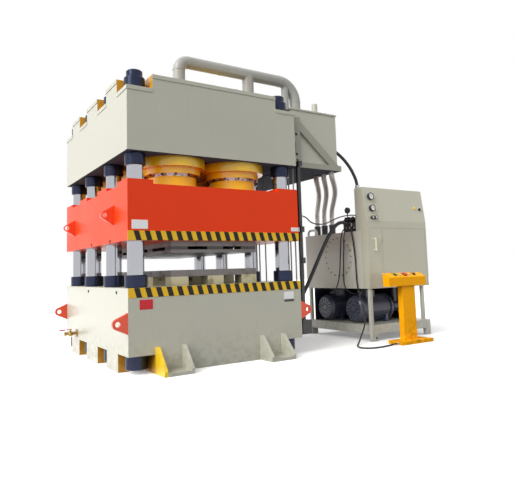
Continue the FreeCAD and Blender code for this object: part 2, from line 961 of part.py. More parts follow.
def make_prefill_tank():
    at = (TANK_LEFT, S.tank_front_y, S.tank_floor)
    shell = box(S.tank_width, S.tank_depth, S.tank_height, at)
    top = S.tank_floor + S.tank_height
    lip = S.lid_lip
    at = (TANK_LEFT - lip, S.tank_front_y - lip, top - S.lid_thickness)
    lid = box(S.tank_width + 2 * lip, S.tank_depth + 2 * lip, S.lid_thickness, at)
    breather_x = TANK_LEFT + S.breather_inset
    breather_y = S.tank_front_y + S.breather_back
    neck = rod(S.breather_radius / 2, S.breather_height, (breather_x, breather_y, top))
    cap_z = top + S.breather_height / 3
    cap = rod(S.breather_radius, S.breather_height * 2 / 3, (breather_x, breather_y, cap_z))
    node("prefill_tank", fuse([shell, lid, neck, cap]))


def make_tank_bracket():
    pieces = []
    bar = S.bracket_bar
    post_x = HALF_WIDTH + S.post_gap
    beam_z = S.tank_floor - S.tank_beam_height
    frames = (S.tank_front_y - bar, S.tank_front_y + S.tank_depth)
    for y in frames:
        post_height = S.post_top - beam_z
        pieces.append(box(S.post_width, bar, post_height, (post_x, y, beam_z)))
        pieces.append(box(S.tank_beam_reach, bar, S.tank_beam_height, (post_x, y, beam_z)))
        low = spot((post_x + S.tank_beam_reach - 40, y, beam_z + 70))
        high = spot((post_x + 40, y, S.post_top - 10))
        depth = S.brace_depth.number
        foot = depth * (low.x - high.x) / (high.z - low.z)
        outline = Part.makePolygon([
            low, high, high + V(0, 0, -depth), low + V(-foot, 0, 0), low])
        brace = Part.Face(outline).extrude(V(0, bar.number, 0))
        pieces.append(made(brace))
    # a closed pan under the tank ties the front frame to the rear one
    at = (post_x, S.tank_front_y, beam_z)
    pieces.append(box(S.tank_beam_reach, S.tank_depth, S.tank_beam_height, at))
    # bolted pads reach the crown's side face
    for y in frames:
        for z in (beam_z + S.bracket_pad_low, beam_z + S.bracket_pad_high):
            at = (HALF_WIDTH, y, z)
            pieces.append(box(S.post_gap, bar, 110, at))
    node("tank_bracket", fuse(pieces))


RETURN_TOP_X = TANK_LEFT + S.tank_width - S.return_top_inset
RETURN_FOOT_X = S.unit_x + S.return_foot_inset
RETURN_MIDDLE_X = RETURN_TOP_X + (RETURN_FOOT_X - RETURN_TOP_X) * 0.41
RETURN_TOPS = [(RETURN_TOP_X, -891), (RETURN_TOP_X, -1073), (RETURN_TOP_X, -1255)]
RETURN_MIDDLES = [(RETURN_MIDDLE_X, -545), (RETURN_MIDDLE_X, -735), (RETURN_MIDDLE_X, -950)]
RETURN_FEET = [(RETURN_FOOT_X, 128), (RETURN_FOOT_X, -66), (RETURN_FOOT_X, -269)]


def make_return_pipes():
    pipes = []
    bellows = []
    foot = S.oil_tank_top + S.bellows_height + 15
    for top, middle, end in zip(RETURN_TOPS, RETURN_MIDDLES, RETURN_FEET):
        route = [
            (top[0], top[1], S.tank_floor - S.tank_beam_height),
            (top[0], top[1], S.tank_floor - S.tank_beam_height - 60),
            (middle[0], middle[1], 2345),
            (end[0], end[1], 2110),
            (end[0], end[1], foot),
        ]
        path = rounded_path(route, loose_bend)[0]
        pipes.append(made(tube(path, S.return_radius)))
        bellows.append(ribbed_coupling(end[0], end[1]))
    # a small bridge pipe stands on the oil tank's rear left corner
    bridge_x = S.unit_x + S.bridge_inset
    rise = S.oil_tank_top + S.bridge_rise
    bridge = [
        (bridge_x, 190, S.oil_tank_top),
        (bridge_x, 190, rise),
        (bridge_x, -40, rise),
        (bridge_x, -40, S.oil_tank_top),
    ]
    pipes.append(made(tube(rounded_path(bridge, fixed_bend(S.bridge_bend))[0], S.bridge_radius)))
    node("return_pipes", group(pipes))
    node("pipe_bellows", group(bellows))


def ribbed_coupling(x, y):
    """A rubber coupling over the pipe's end: its wall swells and narrows rib by rib."""
    height = S.bellows_height
    profile = [(0, 0), (S.bellows_radius + 12, 0), (S.bellows_radius + 12, 14), (S.return_radius + 4, 14)]
    rib = (height - 28) / S.bellows_ribs
    for index in range(int(S.bellows_ribs.number)):
        base = 14 + rib * index
        profile.append((S.bellows_radius, base + rib * 0.3))
        profile.append((S.bellows_radius, base + rib * 0.7))
        profile.append((S.return_radius + 4, base + rib))
    profile += [
        (S.bellows_radius, height - 14),
        (S.bellows_radius, height + 15),
        (0, height + 15),
    ]
    return turned(profile, (x, y, S.oil_tank_top))


# ---------------------------------------------------------------- position switches
SIDE_LINE_ROWS = (-1295, -1185, -535, -365)
SWITCH_HEIGHTS = (1210, 1640, 2560)
RAIL_PAD_HEIGHTS = (600, 2590)


def make_switch_rail():
    at = (RAIL_LEFT, S.rail_y, S.rail_foot)
    pieces = [box(S.rail_width, S.rail_depth, S.rail_top - S.rail_foot, at)]
    pieces.append(box(150, 90, 190, (RAIL_LEFT - 25, S.rail_y - 25, S.rail_foot)))
    for z in SWITCH_HEIGHTS:
        pieces.append(box(55, 70, 80, (RAIL_LEFT - 7, S.rail_y - 45, z)))
        pieces.append(rod(13, 14, (RAIL_LEFT - 3, S.rail_y - 20, z + 100), ALONG_Y))
        pieces.append(box(12, 8, 34, (RAIL_LEFT - 9, S.rail_y - 27, z + 74)))
    for z in RAIL_PAD_HEIGHTS:
        pieces.append(box(S.rail_gap, S.rail_depth, 40, (HALF_WIDTH, S.rail_y, z)))
    node("switch_rail", fuse(pieces))
    at = (HALF_WIDTH, FRONT + 20, S.platen_underside + 130)
    node("switch_striker", box(38, 45, 60, at))
    pieces = []
    line_x = HALF_WIDTH + S.side_line_gap
    for y in SIDE_LINE_ROWS:
        height = S.side_line_top - S.side_line_foot
        pieces.append(rod(S.side_line_radius, height, (line_x, y, S.side_line_foot)))
        for z in (S.side_line_foot, S.side_line_top):
            pieces.append(ball(S.side_line_radius, (line_x, y, z)))
            pieces.append(rod(S.side_line_radius, S.side_line_gap, (HALF_WIDTH, y, z), ALONG_X))
    node("side_lines", group([fuse(pieces[5 * row:5 * row + 5]) for row in range(len(SIDE_LINE_ROWS))]))


# ---------------------------------------------------------------- power unit
def make_skid():
    left = S.unit_x + S.leg_inset
    right = S.unit_x + S.unit_width
    front = S.unit_front + S.leg_inset
    back = S.unit_front + S.unit_depth - S.leg_inset
    leg = S.leg_size
    foot = S.skid_foot
    low = S.skid_rail_bottom
    pieces = []
    for y in (front, back - leg):
        pieces.append(box(right - left, leg, S.skid_rail_height, (left, y, low)))
        for x in (left, right - S.leg_right_inset - leg):
            pieces.append(box(leg, leg, S.tank_bottom - low, (x, y, low)))
        for x in (left, right - foot):
            pieces.append(box(foot, leg, low, (x, y, 0)))
    for x in (left, right - leg):
        pieces.append(box(leg, back - front, S.skid_rail_height, (x, front, low)))
    # a drip tray on the rails carries the motors
    tray_z = low + S.skid_rail_height
    pieces.append(box(right - left, back - front, S.tray_thickness, (left, front, tray_z)))
    # a bent splash guard, welded to the tray, closes the unit behind the motors and beside the pumps
    guard_z = tray_z + S.tray_thickness / 2
    height = S.tank_bottom - S.guard_gap - guard_z
    sheet = S.guard_thickness
    guard_x = left + leg
    depth = S.guard_back - S.guard_front
    pieces.append(box(S.guard_side - guard_x, sheet, height, (guard_x, S.guard_back, guard_z)))
    pieces.append(box(sheet, depth + sheet, height, (S.guard_side, S.guard_front, guard_z)))
    node("skid_frame", fuse(pieces))


def make_oil_tank():
    at = (S.unit_x, S.oil_tank_front, S.tank_bottom)
    back = S.unit_front + S.unit_depth
    shell = box(S.unit_width, back - S.oil_tank_front, S.oil_tank_top - S.tank_bottom, at)
    # the clean-out cover with its ring of bolts faces the press
    out = FreeCAD.Rotation(V(0, 1, 0), -90)
    pieces = [shell, rod(S.cover_radius, S.cover_thickness, (S.unit_x, S.cover_y, S.cover_z), out)]
    for number in range(int(S.cover_bolts.number)):
        angle = 2 * math.pi * number / S.cover_bolts.number
        y = S.cover_y + S.cover_bolt_circle * math.cos(angle)
        z = S.cover_z + S.cover_bolt_circle * math.sin(angle)
        place = (S.unit_x - S.cover_thickness, y, z)
        pieces.append(hexagon(S.cover_bolt_flats, S.cover_bolt_head, place, out))
    node("oil_tank", fuse(pieces))


def make_cabinet():
    body = new_body(at=(S.unit_x, 0, 0))
    front = S.unit_front
    back = front + S.cabinet_upper_depth
    outline = [
        (front, S.tank_bottom),
        (S.oil_tank_front, S.tank_bottom),
        (S.oil_tank_front, S.oil_tank_top),
        (back, S.oil_tank_top),
        (back, S.cabinet_top),
        (front + S.cabinet_slant, S.cabinet_top),
        (front, S.cabinet_knee),
    ]
    pad(body, sketch(body, "YZ_Plane", [outline]), S.unit_width)
    door_z = S.tank_bottom + S.door_foot
    door_top = door_z + S.door_height
    door_right = S.door_margin + S.door_width
    recess = rectangle(S.door_margin, door_z, door_right, door_top)
    depth = S.door_thickness + S.door_gap
    pocket(body, sketch(body, "XZ_Plane", [recess], offset=-front), depth)
    inner = rectangle(S.door_margin + 20, door_z + 20, door_right - 20, door_top - 20)
    room = S.oil_tank_front - front - S.cabinet_wall
    pocket(body, sketch(body, "XZ_Plane", [inner], offset=-front), room)
    # a seam round the wide cover beside the door
    seam = S.seam_width
    outer = rectangle(S.cover_margin, door_z, S.unit_width - 30, door_top)
    inner = rectangle(S.cover_margin + seam, door_z + seam, S.unit_width - 30 - seam, door_top - seam)
    pocket(body, sketch(body, "XZ_Plane", [outer, inner], offset=-front), S.seam_depth)
    hinge_x = S.unit_x + door_right + 1
    hinge_y = front - S.hinge_radius - 1
    knuckle = S.hinge_knuckle
    fixed = [body]
    moving = []
    bores = []
    for z in (door_z + 120, door_z + S.door_height - 120 - 2 * knuckle):
        fixed.append(rod(S.hinge_radius, knuckle, (hinge_x, hinge_y, z)))
        fixed.append(rod(S.hinge_pin_radius, 2 * knuckle, (hinge_x, hinge_y, z)))
        wing_y = front - S.hinge_leaf
        fixed.append(box(S.hinge_wing, S.hinge_leaf, knuckle, (hinge_x, wing_y, z)))
        upper = z + knuckle + S.hinge_gap
        moving.append(rod(S.hinge_radius, knuckle, (hinge_x, hinge_y, upper)))
        moving.append(box(S.hinge_wing, S.hinge_leaf, knuckle, (hinge_x - S.hinge_wing, wing_y, upper)))
        loose = S.hinge_pin_radius + S.hinge_pin_clearance
        bores.append(rod(loose, knuckle + 2, (hinge_x, hinge_y, upper - 1)))
    node("cabinet", fuse(fixed))
    gap = S.door_gap
    left = S.unit_x + S.door_margin + gap
    width = S.door_width - 2 * gap
    at = (left, front, door_z + gap)
    leaf = box(width, S.door_thickness, S.door_height - 2 * gap, at)
    node("cabinet_door", cut(fuse([leaf] + moving), bores))
    handle_x = S.unit_x + S.door_margin + S.handle_offset
    y = front - S.handle_stand
    low = S.handle_z - S.handle_length / 2
    grip = rod(S.handle_radius, S.handle_length, (handle_x, y, low))
    posts = [rod(S.handle_radius * 0.8, S.handle_stand, (handle_x, y, low + lift), ALONG_Y)
             for lift in (18, S.handle_length - 18)]
    node("door_handle", fuse([grip] + posts))


def on_slant(z):
    """The panel's front surface at a height on the slanted upper part."""
    rise = (z - S.cabinet_knee) / (S.cabinet_top - S.cabinet_knee)
    return S.unit_front + S.cabinet_slant * rise


# across from the cabinet's left edge, height, radius and depth of each gauge, lamp last
PANEL_GAUGES = ((140, 2235, 55, 38), (140, 2047, 50, 38), (120, 1900, 26, 38), (190, 1900, 26, 38),
                (1139, 2082, 20, 16))
SELECTOR_PLACE = (1256, 2066)


def make_panel_parts():
    lean = math.degrees(math.atan2(S.cabinet_slant.number, (S.cabinet_top - S.cabinet_knee).number))
    outwards = FreeCAD.Rotation(V(1, 0, 0), 90 - lean)
    gauges = []
    for x, z, radius, depth in PANEL_GAUGES:
        at = (S.unit_x + x, on_slant(as_size(z)), z)
        gauges.append(rod(radius, depth, at, outwards))
    node("panel_gauges", group(gauges))
    x, z = SELECTOR_PLACE
    at = (S.unit_x + x, on_slant(as_size(z)), z)
    collar = rod(22, 12, at, outwards)
    corner = outwards.multVec(V(-5, -20, 0))
    grip_at = [value + shift for value, shift in zip(at, corner)]
    node("mode_selector", fuse([collar, box(10, 40, 30, grip_at, outwards)]))


def motor(y):
    """A finned motor on feet; the slotted hood over its fan faces the press."""
    radius = S.motor_radius
    core = radius - S.motor_fin - 6
    shoulder = S.motor_shoulder
    length = S.motor_length
    body = turned([
        (0, 0),
        (radius - shoulder, 0),
        (radius, shoulder),
        (radius, S.motor_hood),
        (core, S.motor_hood),
        (core, length - 40),
        (radius, length - 40),
        (radius, length),
        (0, length),
    ], (S.motor_x, y, S.motor_centre), ALONG_X)
    fin = rectangle(core - 6, -3, radius - 4, 3)
    rib = pad(body, sketch(body, "XY_Plane", [fin], offset=S.motor_hood - 5), length - S.motor_hood - 25)
    repeat_round(body, rib, S.motor_fins)
    for near, far, half in ((42, 92, 5), (104, radius - shoulder - 12, 9)):
        slot = rectangle(near, -half, far, half)
        opening = pocket(body, sketch(body, "XY_Plane", [slot]), 25, reverse=True)
        repeat_round(body, opening, S.grille_rows)
    tray_top = S.skid_rail_bottom + S.skid_rail_height + S.tray_thickness
    pieces = [body]
    for along in (210, 530):
        at = (S.motor_x + along, y - radius, tray_top)
        pieces.append(box(90, 2 * radius, 22, at))
        at = (S.motor_x + along + 20, y - radius + 40, tray_top)
        pieces.append(box(50, 2 * radius - 80, S.motor_centre - tray_top - 90, at))
    box_z = S.motor_centre + radius - S.terminal_sink
    at = (S.motor_x + S.terminal_offset, y - S.terminal_size / 2, box_z)
    pieces.append(box(S.terminal_size, S.terminal_size, S.terminal_height, at))
    return fuse(pieces)


def make_motors():
    rows = (S.motor_front_y, S.motor_rear_y)
    node("drive_motors", group([motor(y) for y in rows]))
    pumps = []
    for y in rows:
        start = S.motor_x + S.motor_length
        bell = cone(S.motor_radius - 30, S.pump_radius + 15, S.bell_length, (start, y, S.motor_centre), ALONG_X)
        case_x = start + S.bell_length
        case = rod(S.pump_radius, S.pump_length, (case_x, y, S.motor_centre), ALONG_X)
        side = 2 * S.pump_radius + 26
        at = (case_x + S.pump_length, y - side / 2, S.motor_centre - side / 2)
        cover = box(S.pump_cover, side, side, at)
        middle = case_x + S.pump_length / 2
        suction = rod(S.suction_radius, S.tank_bottom - S.motor_centre, (middle, y, S.motor_centre))
        at = (middle, y, S.tank_bottom - 24)
        pumps.append(fuse([bell, case, cover, suction, rod(S.suction_radius + 32, 24, at)]))
    node("pumps", group(pumps))


def make_valve_block():
    """A manifold with double-solenoid valves side by side and a gauge on a stem."""
    x = S.unit_x + S.manifold_inset
    y = S.unit_front + S.cabinet_upper_depth + S.manifold_gap
    z = S.oil_tank_top
    length = S.manifold_length
    pieces = [box(length, S.manifold_depth, S.manifold_height, (x, y, z))]
    top = z + S.manifold_height
    axis_z = top + S.valve_height / 2
    for row in range(int(S.valve_rows.number)):
        middle = y + 60 + S.valve_pitch * row
        at = (x + 40, middle - S.valve_width / 2, top)
        pieces.append(box(length - 80, S.valve_width, S.valve_height, at))
        for radius, reach in ((S.coil_radius, S.coil_reach), (S.plug_radius, S.plug_reach)):
            pieces.append(rod(radius, length + 2 * reach, (x - reach, middle, axis_z), ALONG_X))
        for plug_x in (x - 10, x + length - 22):
            pieces.append(box(32, 30, 34, (plug_x, middle - 15, axis_z + 18)))
    gauge_y = y + S.manifold_depth - S.gauge_inset
    pieces.append(rod(9, S.gauge_stem, (x + length / 2, gauge_y, top)))
    at = (x + length / 2 - 17, gauge_y, top + S.gauge_stem + S.gauge_radius - 5)
    pieces.append(rod(S.gauge_radius, 34, at, ALONG_X))
    node("valve_block", fuse(pieces))


# ---------------------------------------------------------------- drain valve
def make_drain_valve():
    wall = -HALF_WIDTH
    out = FreeCAD.Rotation(V(0, 1, 0), -90)
    y, z = S.drain_y, S.drain_z
    flange = rod(55, 16, (wall, y, z), out)
    neck = rod(22, 150, (wall, y, z), out)
    shell = ball(38, (wall - 95, y, z))
    stem = rod(9, 52, (wall - 95, y, z))
    nozzle = rod(27, 30, (wall - 150, y, z), out)
    node("drain_valve_body", fuse([flange, neck, shell, stem, nozzle]))
    hub_z = z + 52.3
    hub = rod(18, 12, (wall - 95, y, hub_z))
    arm = box(150, 24, 8, (wall - 245, y - 12, hub_z + 2))
    grip = box(80, 30, 16, (wall - 250, y - 15, hub_z - 2))
    node("drain_valve_lever", fuse([hub, arm, grip]))


# ---------------------------------------------------------------- pedestal
BUTTONS = (
    ("button_close", -200, S.button_radius),
    ("emergency_stop", 0, S.stop_radius),
    ("button_open", 200, S.button_radius),
)
LAMPS = (-100, 100)


def make_pedestal():
    x = S.stand_x - S.stand_width / 2
    y = S.stand_y - S.stand_depth / 2
    plate = box(S.stand_width, S.stand_depth, S.stand_plate, (x, y, 0))
    column_x = S.stand_column_x - S.stand_column_width / 2
    column_y = S.head_front + 25
    height = S.head_bottom - S.stand_plate
    at = (column_x, column_y, S.stand_plate)
    mast = box(S.stand_column_width, S.stand_column_depth, height, at)
    node("pedestal_stand", fuse([plate, mast]))
    body = new_body(at=(S.head_x - S.head_width / 2, 0, 0))
    back = S.head_front + S.head_depth
    outline = [
        (S.head_front, S.head_bottom),
        (back, S.head_bottom),
        (back, S.head_rear_top),
        (S.head_front, S.head_front_top),
    ]
    pad(body, sketch(body, "YZ_Plane", [outline]), S.head_width)
    rise = (S.head_rear_top - S.head_front_top).number
    upwards = FreeCAD.Rotation(V(1, 0, 0), math.degrees(math.atan2(rise, S.head_depth.number)))
    normal = upwards.multVec(V(0, 0, 1))
    middle_y = S.head_front + S.head_depth / 2
    middle_z = (S.head_front_top + S.head_rear_top) / 2

    def on_head(x, lift):
        return (S.head_x + x, middle_y + normal.y * lift, middle_z + normal.z * lift)

    holes = []
    for name, x, radius in BUTTONS:
        depth = S.stem_depth + S.button_travel + 4
        bore = S.stem_radius + S.stem_clearance
        holes.append(rod(bore, depth + 5, on_head(x, -depth), upwards))
        lift = S.button_travel + 1
        stem = rod(S.stem_radius, S.stem_depth + lift + 1, on_head(x, -S.stem_depth), upwards)
        cap = rod(radius, S.button_cap, on_head(x, lift), upwards)
        node(name, fuse([stem, cap]))
    node("pedestal_head", cut(body, holes))
    lamps = [rod(S.lamp_radius, S.lamp_height, on_head(x, 0), upwards) for x in LAMPS]
    node("pilot_lamps", group(lamps))


# ---------------------------------------------------------------- free hoses and cables
# each cord stops a hair short of the face that its fitting stands on
FRAME_PORT = HALF_WIDTH + FITTING_GAP
RAIL_PORT = RAIL_LEFT + S.rail_width + FITTING_GAP
TANK_PORT = TANK_LEFT + S.tank_width + FITTING_GAP
CABINET_SIDE = S.unit_x - FITTING_GAP
CABINET_LID = S.cabinet_top + FITTING_GAP
MANIFOLD_SIDE = S.unit_x + S.manifold_inset - FITTING_GAP
TERMINAL_SIDE = S.motor_x + S.terminal_offset - FITTING_GAP
STAND_SIDE = S.stand_x - S.stand_width / 2 - FITTING_GAP
PRESSURE_HOSE = [
    (MANIFOLD_SIDE, -955, 1812),
    (2550, -955, 1812),
    (2380, -1050, 1850),
    (2175, -1115, 1790),
    (2000, -1135, 1600),
    (1830, -1142, 1340),
    (1665, -1145, 1060),
    (1515, -1142, 815),
    (1425, -1136, 688),
    (FRAME_PORT + 120, -1130, 592),
    (FRAME_PORT, -1130, 592),
]
SWITCH_CABLE = [
    (RAIL_PORT, -1392, 1868),
    (RAIL_PORT + 75, -1392, 1868),
    (1470, -1390, 1785),
    (1610, -1370, 1760),
    (1800, -1320, 1775),
    (2000, -1245, 1840),
    (2220, -1165, 1905),
    (2430, -1118, 1945),
    (2560, -1110, 1950),
    (CABINET_SIDE, -1110, 1950),
]
CABINET_HOSE = [
    (TANK_PORT, -1055, 3000),
    (TANK_PORT + 95, -1055, 3000),
    (2280, -1080, 2940),
    (2385, -1110, 2850),
    (2480, -1128, 2745),
    (2565, -1130, 2640),
    (2672, -1110, 2475),
    (2672, -1110, CABINET_LID),
]
MOTOR_CABLES = [
    [
        (MANIFOLD_SIDE, -905, 1765),
        (2605, -905, 1765),
        (2572, -880, 1710),
        (2578, -840, 1600),
        (2596, -812, 1460),
        (2590, -796, 1290),
        (2598, -785, 1120),
        (2592, -778, 950),
        (2602, -782, 835),
        (2650, -796, 755),
        (2740, -810, 715),
        (2840, -815, 702),
        (TERMINAL_SIDE, -815, 702),
    ],
    [
        (MANIFOLD_SIDE, -835, 1765),
        (2608, -835, 1765),
        (2576, -805, 1705),
        (2582, -760, 1580),
        (2596, -735, 1430),
        (2590, -715, 1260),
        (2598, -695, 1090),
        (2590, -665, 930),
        (2602, -590, 810),
        (2650, -455, 738),
        (2735, -280, 712),
        (2800, -160, 704),
        (2860, -105, 702),
        (TERMINAL_SIDE, -105, 702),
    ],
]
PEDESTAL_CABLE = [
    (MANIFOLD_SIDE, -1005, 1765),
    (2608, -1005, 1765),
    (2570, -1030, 1700),
    (2578, -1055, 1560),
    (2590, -1064, 1380),
    (2594, -1074, 1190),
    (2590, -1077, 1000),
    (2597, -1086, 815),
    (2600, -1146, 628),
    (2598, -1232, 365),
    (2525, -1276, 245),
    (2430, -1302, 130),
    (2345, -1340, 40),
    (2260, -1398, 11.7),
    (2180, -1470, 11.7),
    (2105, -1560, 11.7),
    (2058, -1655, 11.7),
    (2085, -1748, 11.7),
    (2170, -1800, 11.7),
    (2290, -1812, 11.7),
    (2430, -1798, 11.7),
    (2530, -1790, 16),
    (2600, -1790, 22),
    (STAND_SIDE, -1790, 22),
]
HOSE_FITTING = (11, 50)
CABLE_GLAND = (8, 24)


def fitting(end, neighbour, radius, size):
    """A bored ferrule round a cord's end, standing on the face that the end stops short of."""
    wall, length = size
    heading = (spot(neighbour) - spot(end)).normalize()
    foot = [value - shift for value, shift in zip(end, heading * FITTING_GAP)]
    turn = FreeCAD.Rotation(V(0, 0, 1), heading)
    inner = radius + FITTING_GAP
    outer = radius + wall
    profile = [(inner, 0), (outer, 0), (outer, length - 4), (outer - 4, length), (inner, length)]
    return turned(profile, foot, turn)


def make_cord_fittings():
    pieces = []
    hoses = ((PRESSURE_HOSE, S.pressure_hose_radius), (CABINET_HOSE, S.cabinet_hose_radius))
    for points, radius in hoses:
        pieces.append(fitting(points[0], points[1], radius, HOSE_FITTING))
        pieces.append(fitting(points[-1], points[-2], radius, HOSE_FITTING))
    cables = [(points, S.cable_radius) for points in [SWITCH_CABLE] + MOTOR_CABLES]
    for points, radius in cables + [(PEDESTAL_CABLE, S.stand_cable_radius)]:
        pieces.append(fitting(points[0], points[1], radius, CABLE_GLAND))
        pieces.append(fitting(points[-1], points[-2], radius, CABLE_GLAND))
    node("cord_fittings", group(pieces))


def make_cords():
    node("pressure_hose", made(cord("pressure_hose", PRESSURE_HOSE, S.pressure_hose_radius)))
    node("switch_cable", made(cord("switch_cable", SWITCH_CABLE, S.cable_radius)))
    node("cabinet_hose", made(cord("cabinet_hose", CABINET_HOSE, S.cabinet_hose_radius)))
    leads = [cord("motor_cables", points, S.cable_radius) for points in MOTOR_CABLES]
    node("motor_cables", made(Part.makeCompound(leads)))
    node("pedestal_cable", made(cord("pedestal_cable", PEDESTAL_CABLE, S.stand_cable_radius)))


# ---------------------------------------------------------------- the whole press
make_base()
make_foot_brackets()
make_lugs()
make_crown()
make_columns()
make_nuts_and_collars()
make_platen()
make_strip("base_hazard_strip", S.base_height)
make_strip("platen_hazard_strip", S.platen_underside + S.strip_height)
make_cylinders()
make_rams()
make_tooling()
make_prefill_pipe()
make_prefill_tank()
make_tank_bracket()
make_return_pipes()
make_switch_rail()
make_skid()
make_oil_tank()
make_cabinet()
make_panel_parts()
make_motors()
make_valve_block()
make_drain_valve()
make_pedestal()
make_cords()
make_cord_fittings()

doc.recompute()

# ---------------------------------------------------------------- check and write
for item in doc.Objects:
    if "Invalid" in item.State or "Error" in item.State:
        raise RuntimeError(item.Label + " did not build: " + str(item.State))
for name, item in nodes.items():
    if item.Shape.isNull() or not item.Shape.isValid():
        raise RuntimeError(name + " has no valid shape")

os.makedirs("parts", exist_ok=True)
for name, item in nodes.items():
    item.Shape.exportStep("parts/" + name + ".step")
    print(name, len(item.Shape.Solids), "solids", round(item.Shape.Volume / 1e9, 4), "m3")
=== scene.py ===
import bpy
import bmesh
import json
import math
from mathutils import Matrix, Vector

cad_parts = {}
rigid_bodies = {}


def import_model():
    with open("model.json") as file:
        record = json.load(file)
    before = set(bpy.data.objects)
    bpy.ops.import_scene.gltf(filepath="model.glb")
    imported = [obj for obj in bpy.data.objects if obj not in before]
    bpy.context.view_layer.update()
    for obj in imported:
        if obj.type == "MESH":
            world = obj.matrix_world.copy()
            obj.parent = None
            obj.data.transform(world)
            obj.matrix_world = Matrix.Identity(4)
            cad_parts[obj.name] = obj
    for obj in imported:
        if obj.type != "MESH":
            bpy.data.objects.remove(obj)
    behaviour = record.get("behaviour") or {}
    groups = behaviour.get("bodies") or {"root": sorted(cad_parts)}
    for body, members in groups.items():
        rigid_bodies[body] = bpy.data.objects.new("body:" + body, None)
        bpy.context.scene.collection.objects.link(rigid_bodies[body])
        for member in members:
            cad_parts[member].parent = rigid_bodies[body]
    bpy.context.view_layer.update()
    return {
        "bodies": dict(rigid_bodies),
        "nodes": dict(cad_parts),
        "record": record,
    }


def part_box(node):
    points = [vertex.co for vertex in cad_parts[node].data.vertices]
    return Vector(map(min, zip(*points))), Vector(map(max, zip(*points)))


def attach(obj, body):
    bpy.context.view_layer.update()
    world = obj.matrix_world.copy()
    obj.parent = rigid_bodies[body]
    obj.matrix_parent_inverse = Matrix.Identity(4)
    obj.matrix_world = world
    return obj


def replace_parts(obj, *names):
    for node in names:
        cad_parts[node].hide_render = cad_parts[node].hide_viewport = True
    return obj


# Lengths are metres in the part's own frame: X to the right along the front, Y to the rear, Z up.
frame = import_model()
nodes = frame["nodes"]
kept = set(nodes.values()) | set(frame["bodies"].values())
for item in list(bpy.data.objects):
    if item not in kept:
        bpy.data.objects.remove(item)
scene = bpy.context.scene


# ---------------- colours and node trees
def srgb(red, green, blue):
    def linear(value):
        value = value / 255
        return value / 12.92 if value <= 0.04045 else ((value + 0.055) / 1.055) ** 2.4
    return (linear(red), linear(green), linear(blue), 1.0)


def feed(tree, item, values):
    """Gives a node's inputs a plain value each, or the output of another node."""
    for key, value in values.items():
        if isinstance(value, bpy.types.NodeSocket):
            tree.links.new(value, item.inputs[key])
        else:
            item.inputs[key].default_value = value
    return item


def add(tree, kind, inputs=None, **settings):
    item = tree.nodes.new(kind)
    for name, value in settings.items():
        setattr(item, name, value)
    return feed(tree, item, inputs or {})


def maths(tree, operation, first, second=0.0, clamp=False):
    item = add(tree, "ShaderNodeMath", {0: first, 1: second}, operation=operation, use_clamp=clamp)
    return item.outputs[0]


def times(tree, first, second):
    return maths(tree, "MULTIPLY", first, second)


def plus(tree, first, second, clamp=False):
    return maths(tree, "ADD", first, second, clamp)


def blend_colours(tree, factor, first, second, blend="MIX"):
    item = tree.nodes.new("ShaderNodeMix")
    item.data_type = "RGBA"
    item.blend_type = blend
    return feed(tree, item, {0: factor, 6: first, 7: second}).outputs[2]


def ramp(tree, factor, low, high):
    item = add(tree, "ShaderNodeMapRange", {"Value": factor, "From Min": low, "From Max": high},
               interpolation_type="SMOOTHSTEP")
    return item.outputs["Result"]


def noise(tree, place, scale, detail, roughness=0.5):
    inputs = {"Vector": place, "Scale": scale, "Detail": detail, "Roughness": roughness}
    return add(tree, "ShaderNodeTexNoise", inputs).outputs[0]


def place_on_part(tree):
    return add(tree, "ShaderNodeTexCoord").outputs["Object"]


def along_axis(tree, vector, axis):
    return add(tree, "ShaderNodeSeparateXYZ", {0: vector}).outputs[axis]


def new_group(name, inputs, outputs):
    tree = bpy.data.node_groups.new(name, "ShaderNodeTree")
    for label, kind, value in inputs:
        socket = tree.interface.new_socket(label, in_out="INPUT", socket_type="NodeSocket" + kind)
        socket.default_value = value
    for label, kind in outputs:
        tree.interface.new_socket(label, in_out="OUTPUT", socket_type="NodeSocket" + kind)
    return tree, tree.nodes.new("NodeGroupInput").outputs, tree.nodes.new("NodeGroupOutput")


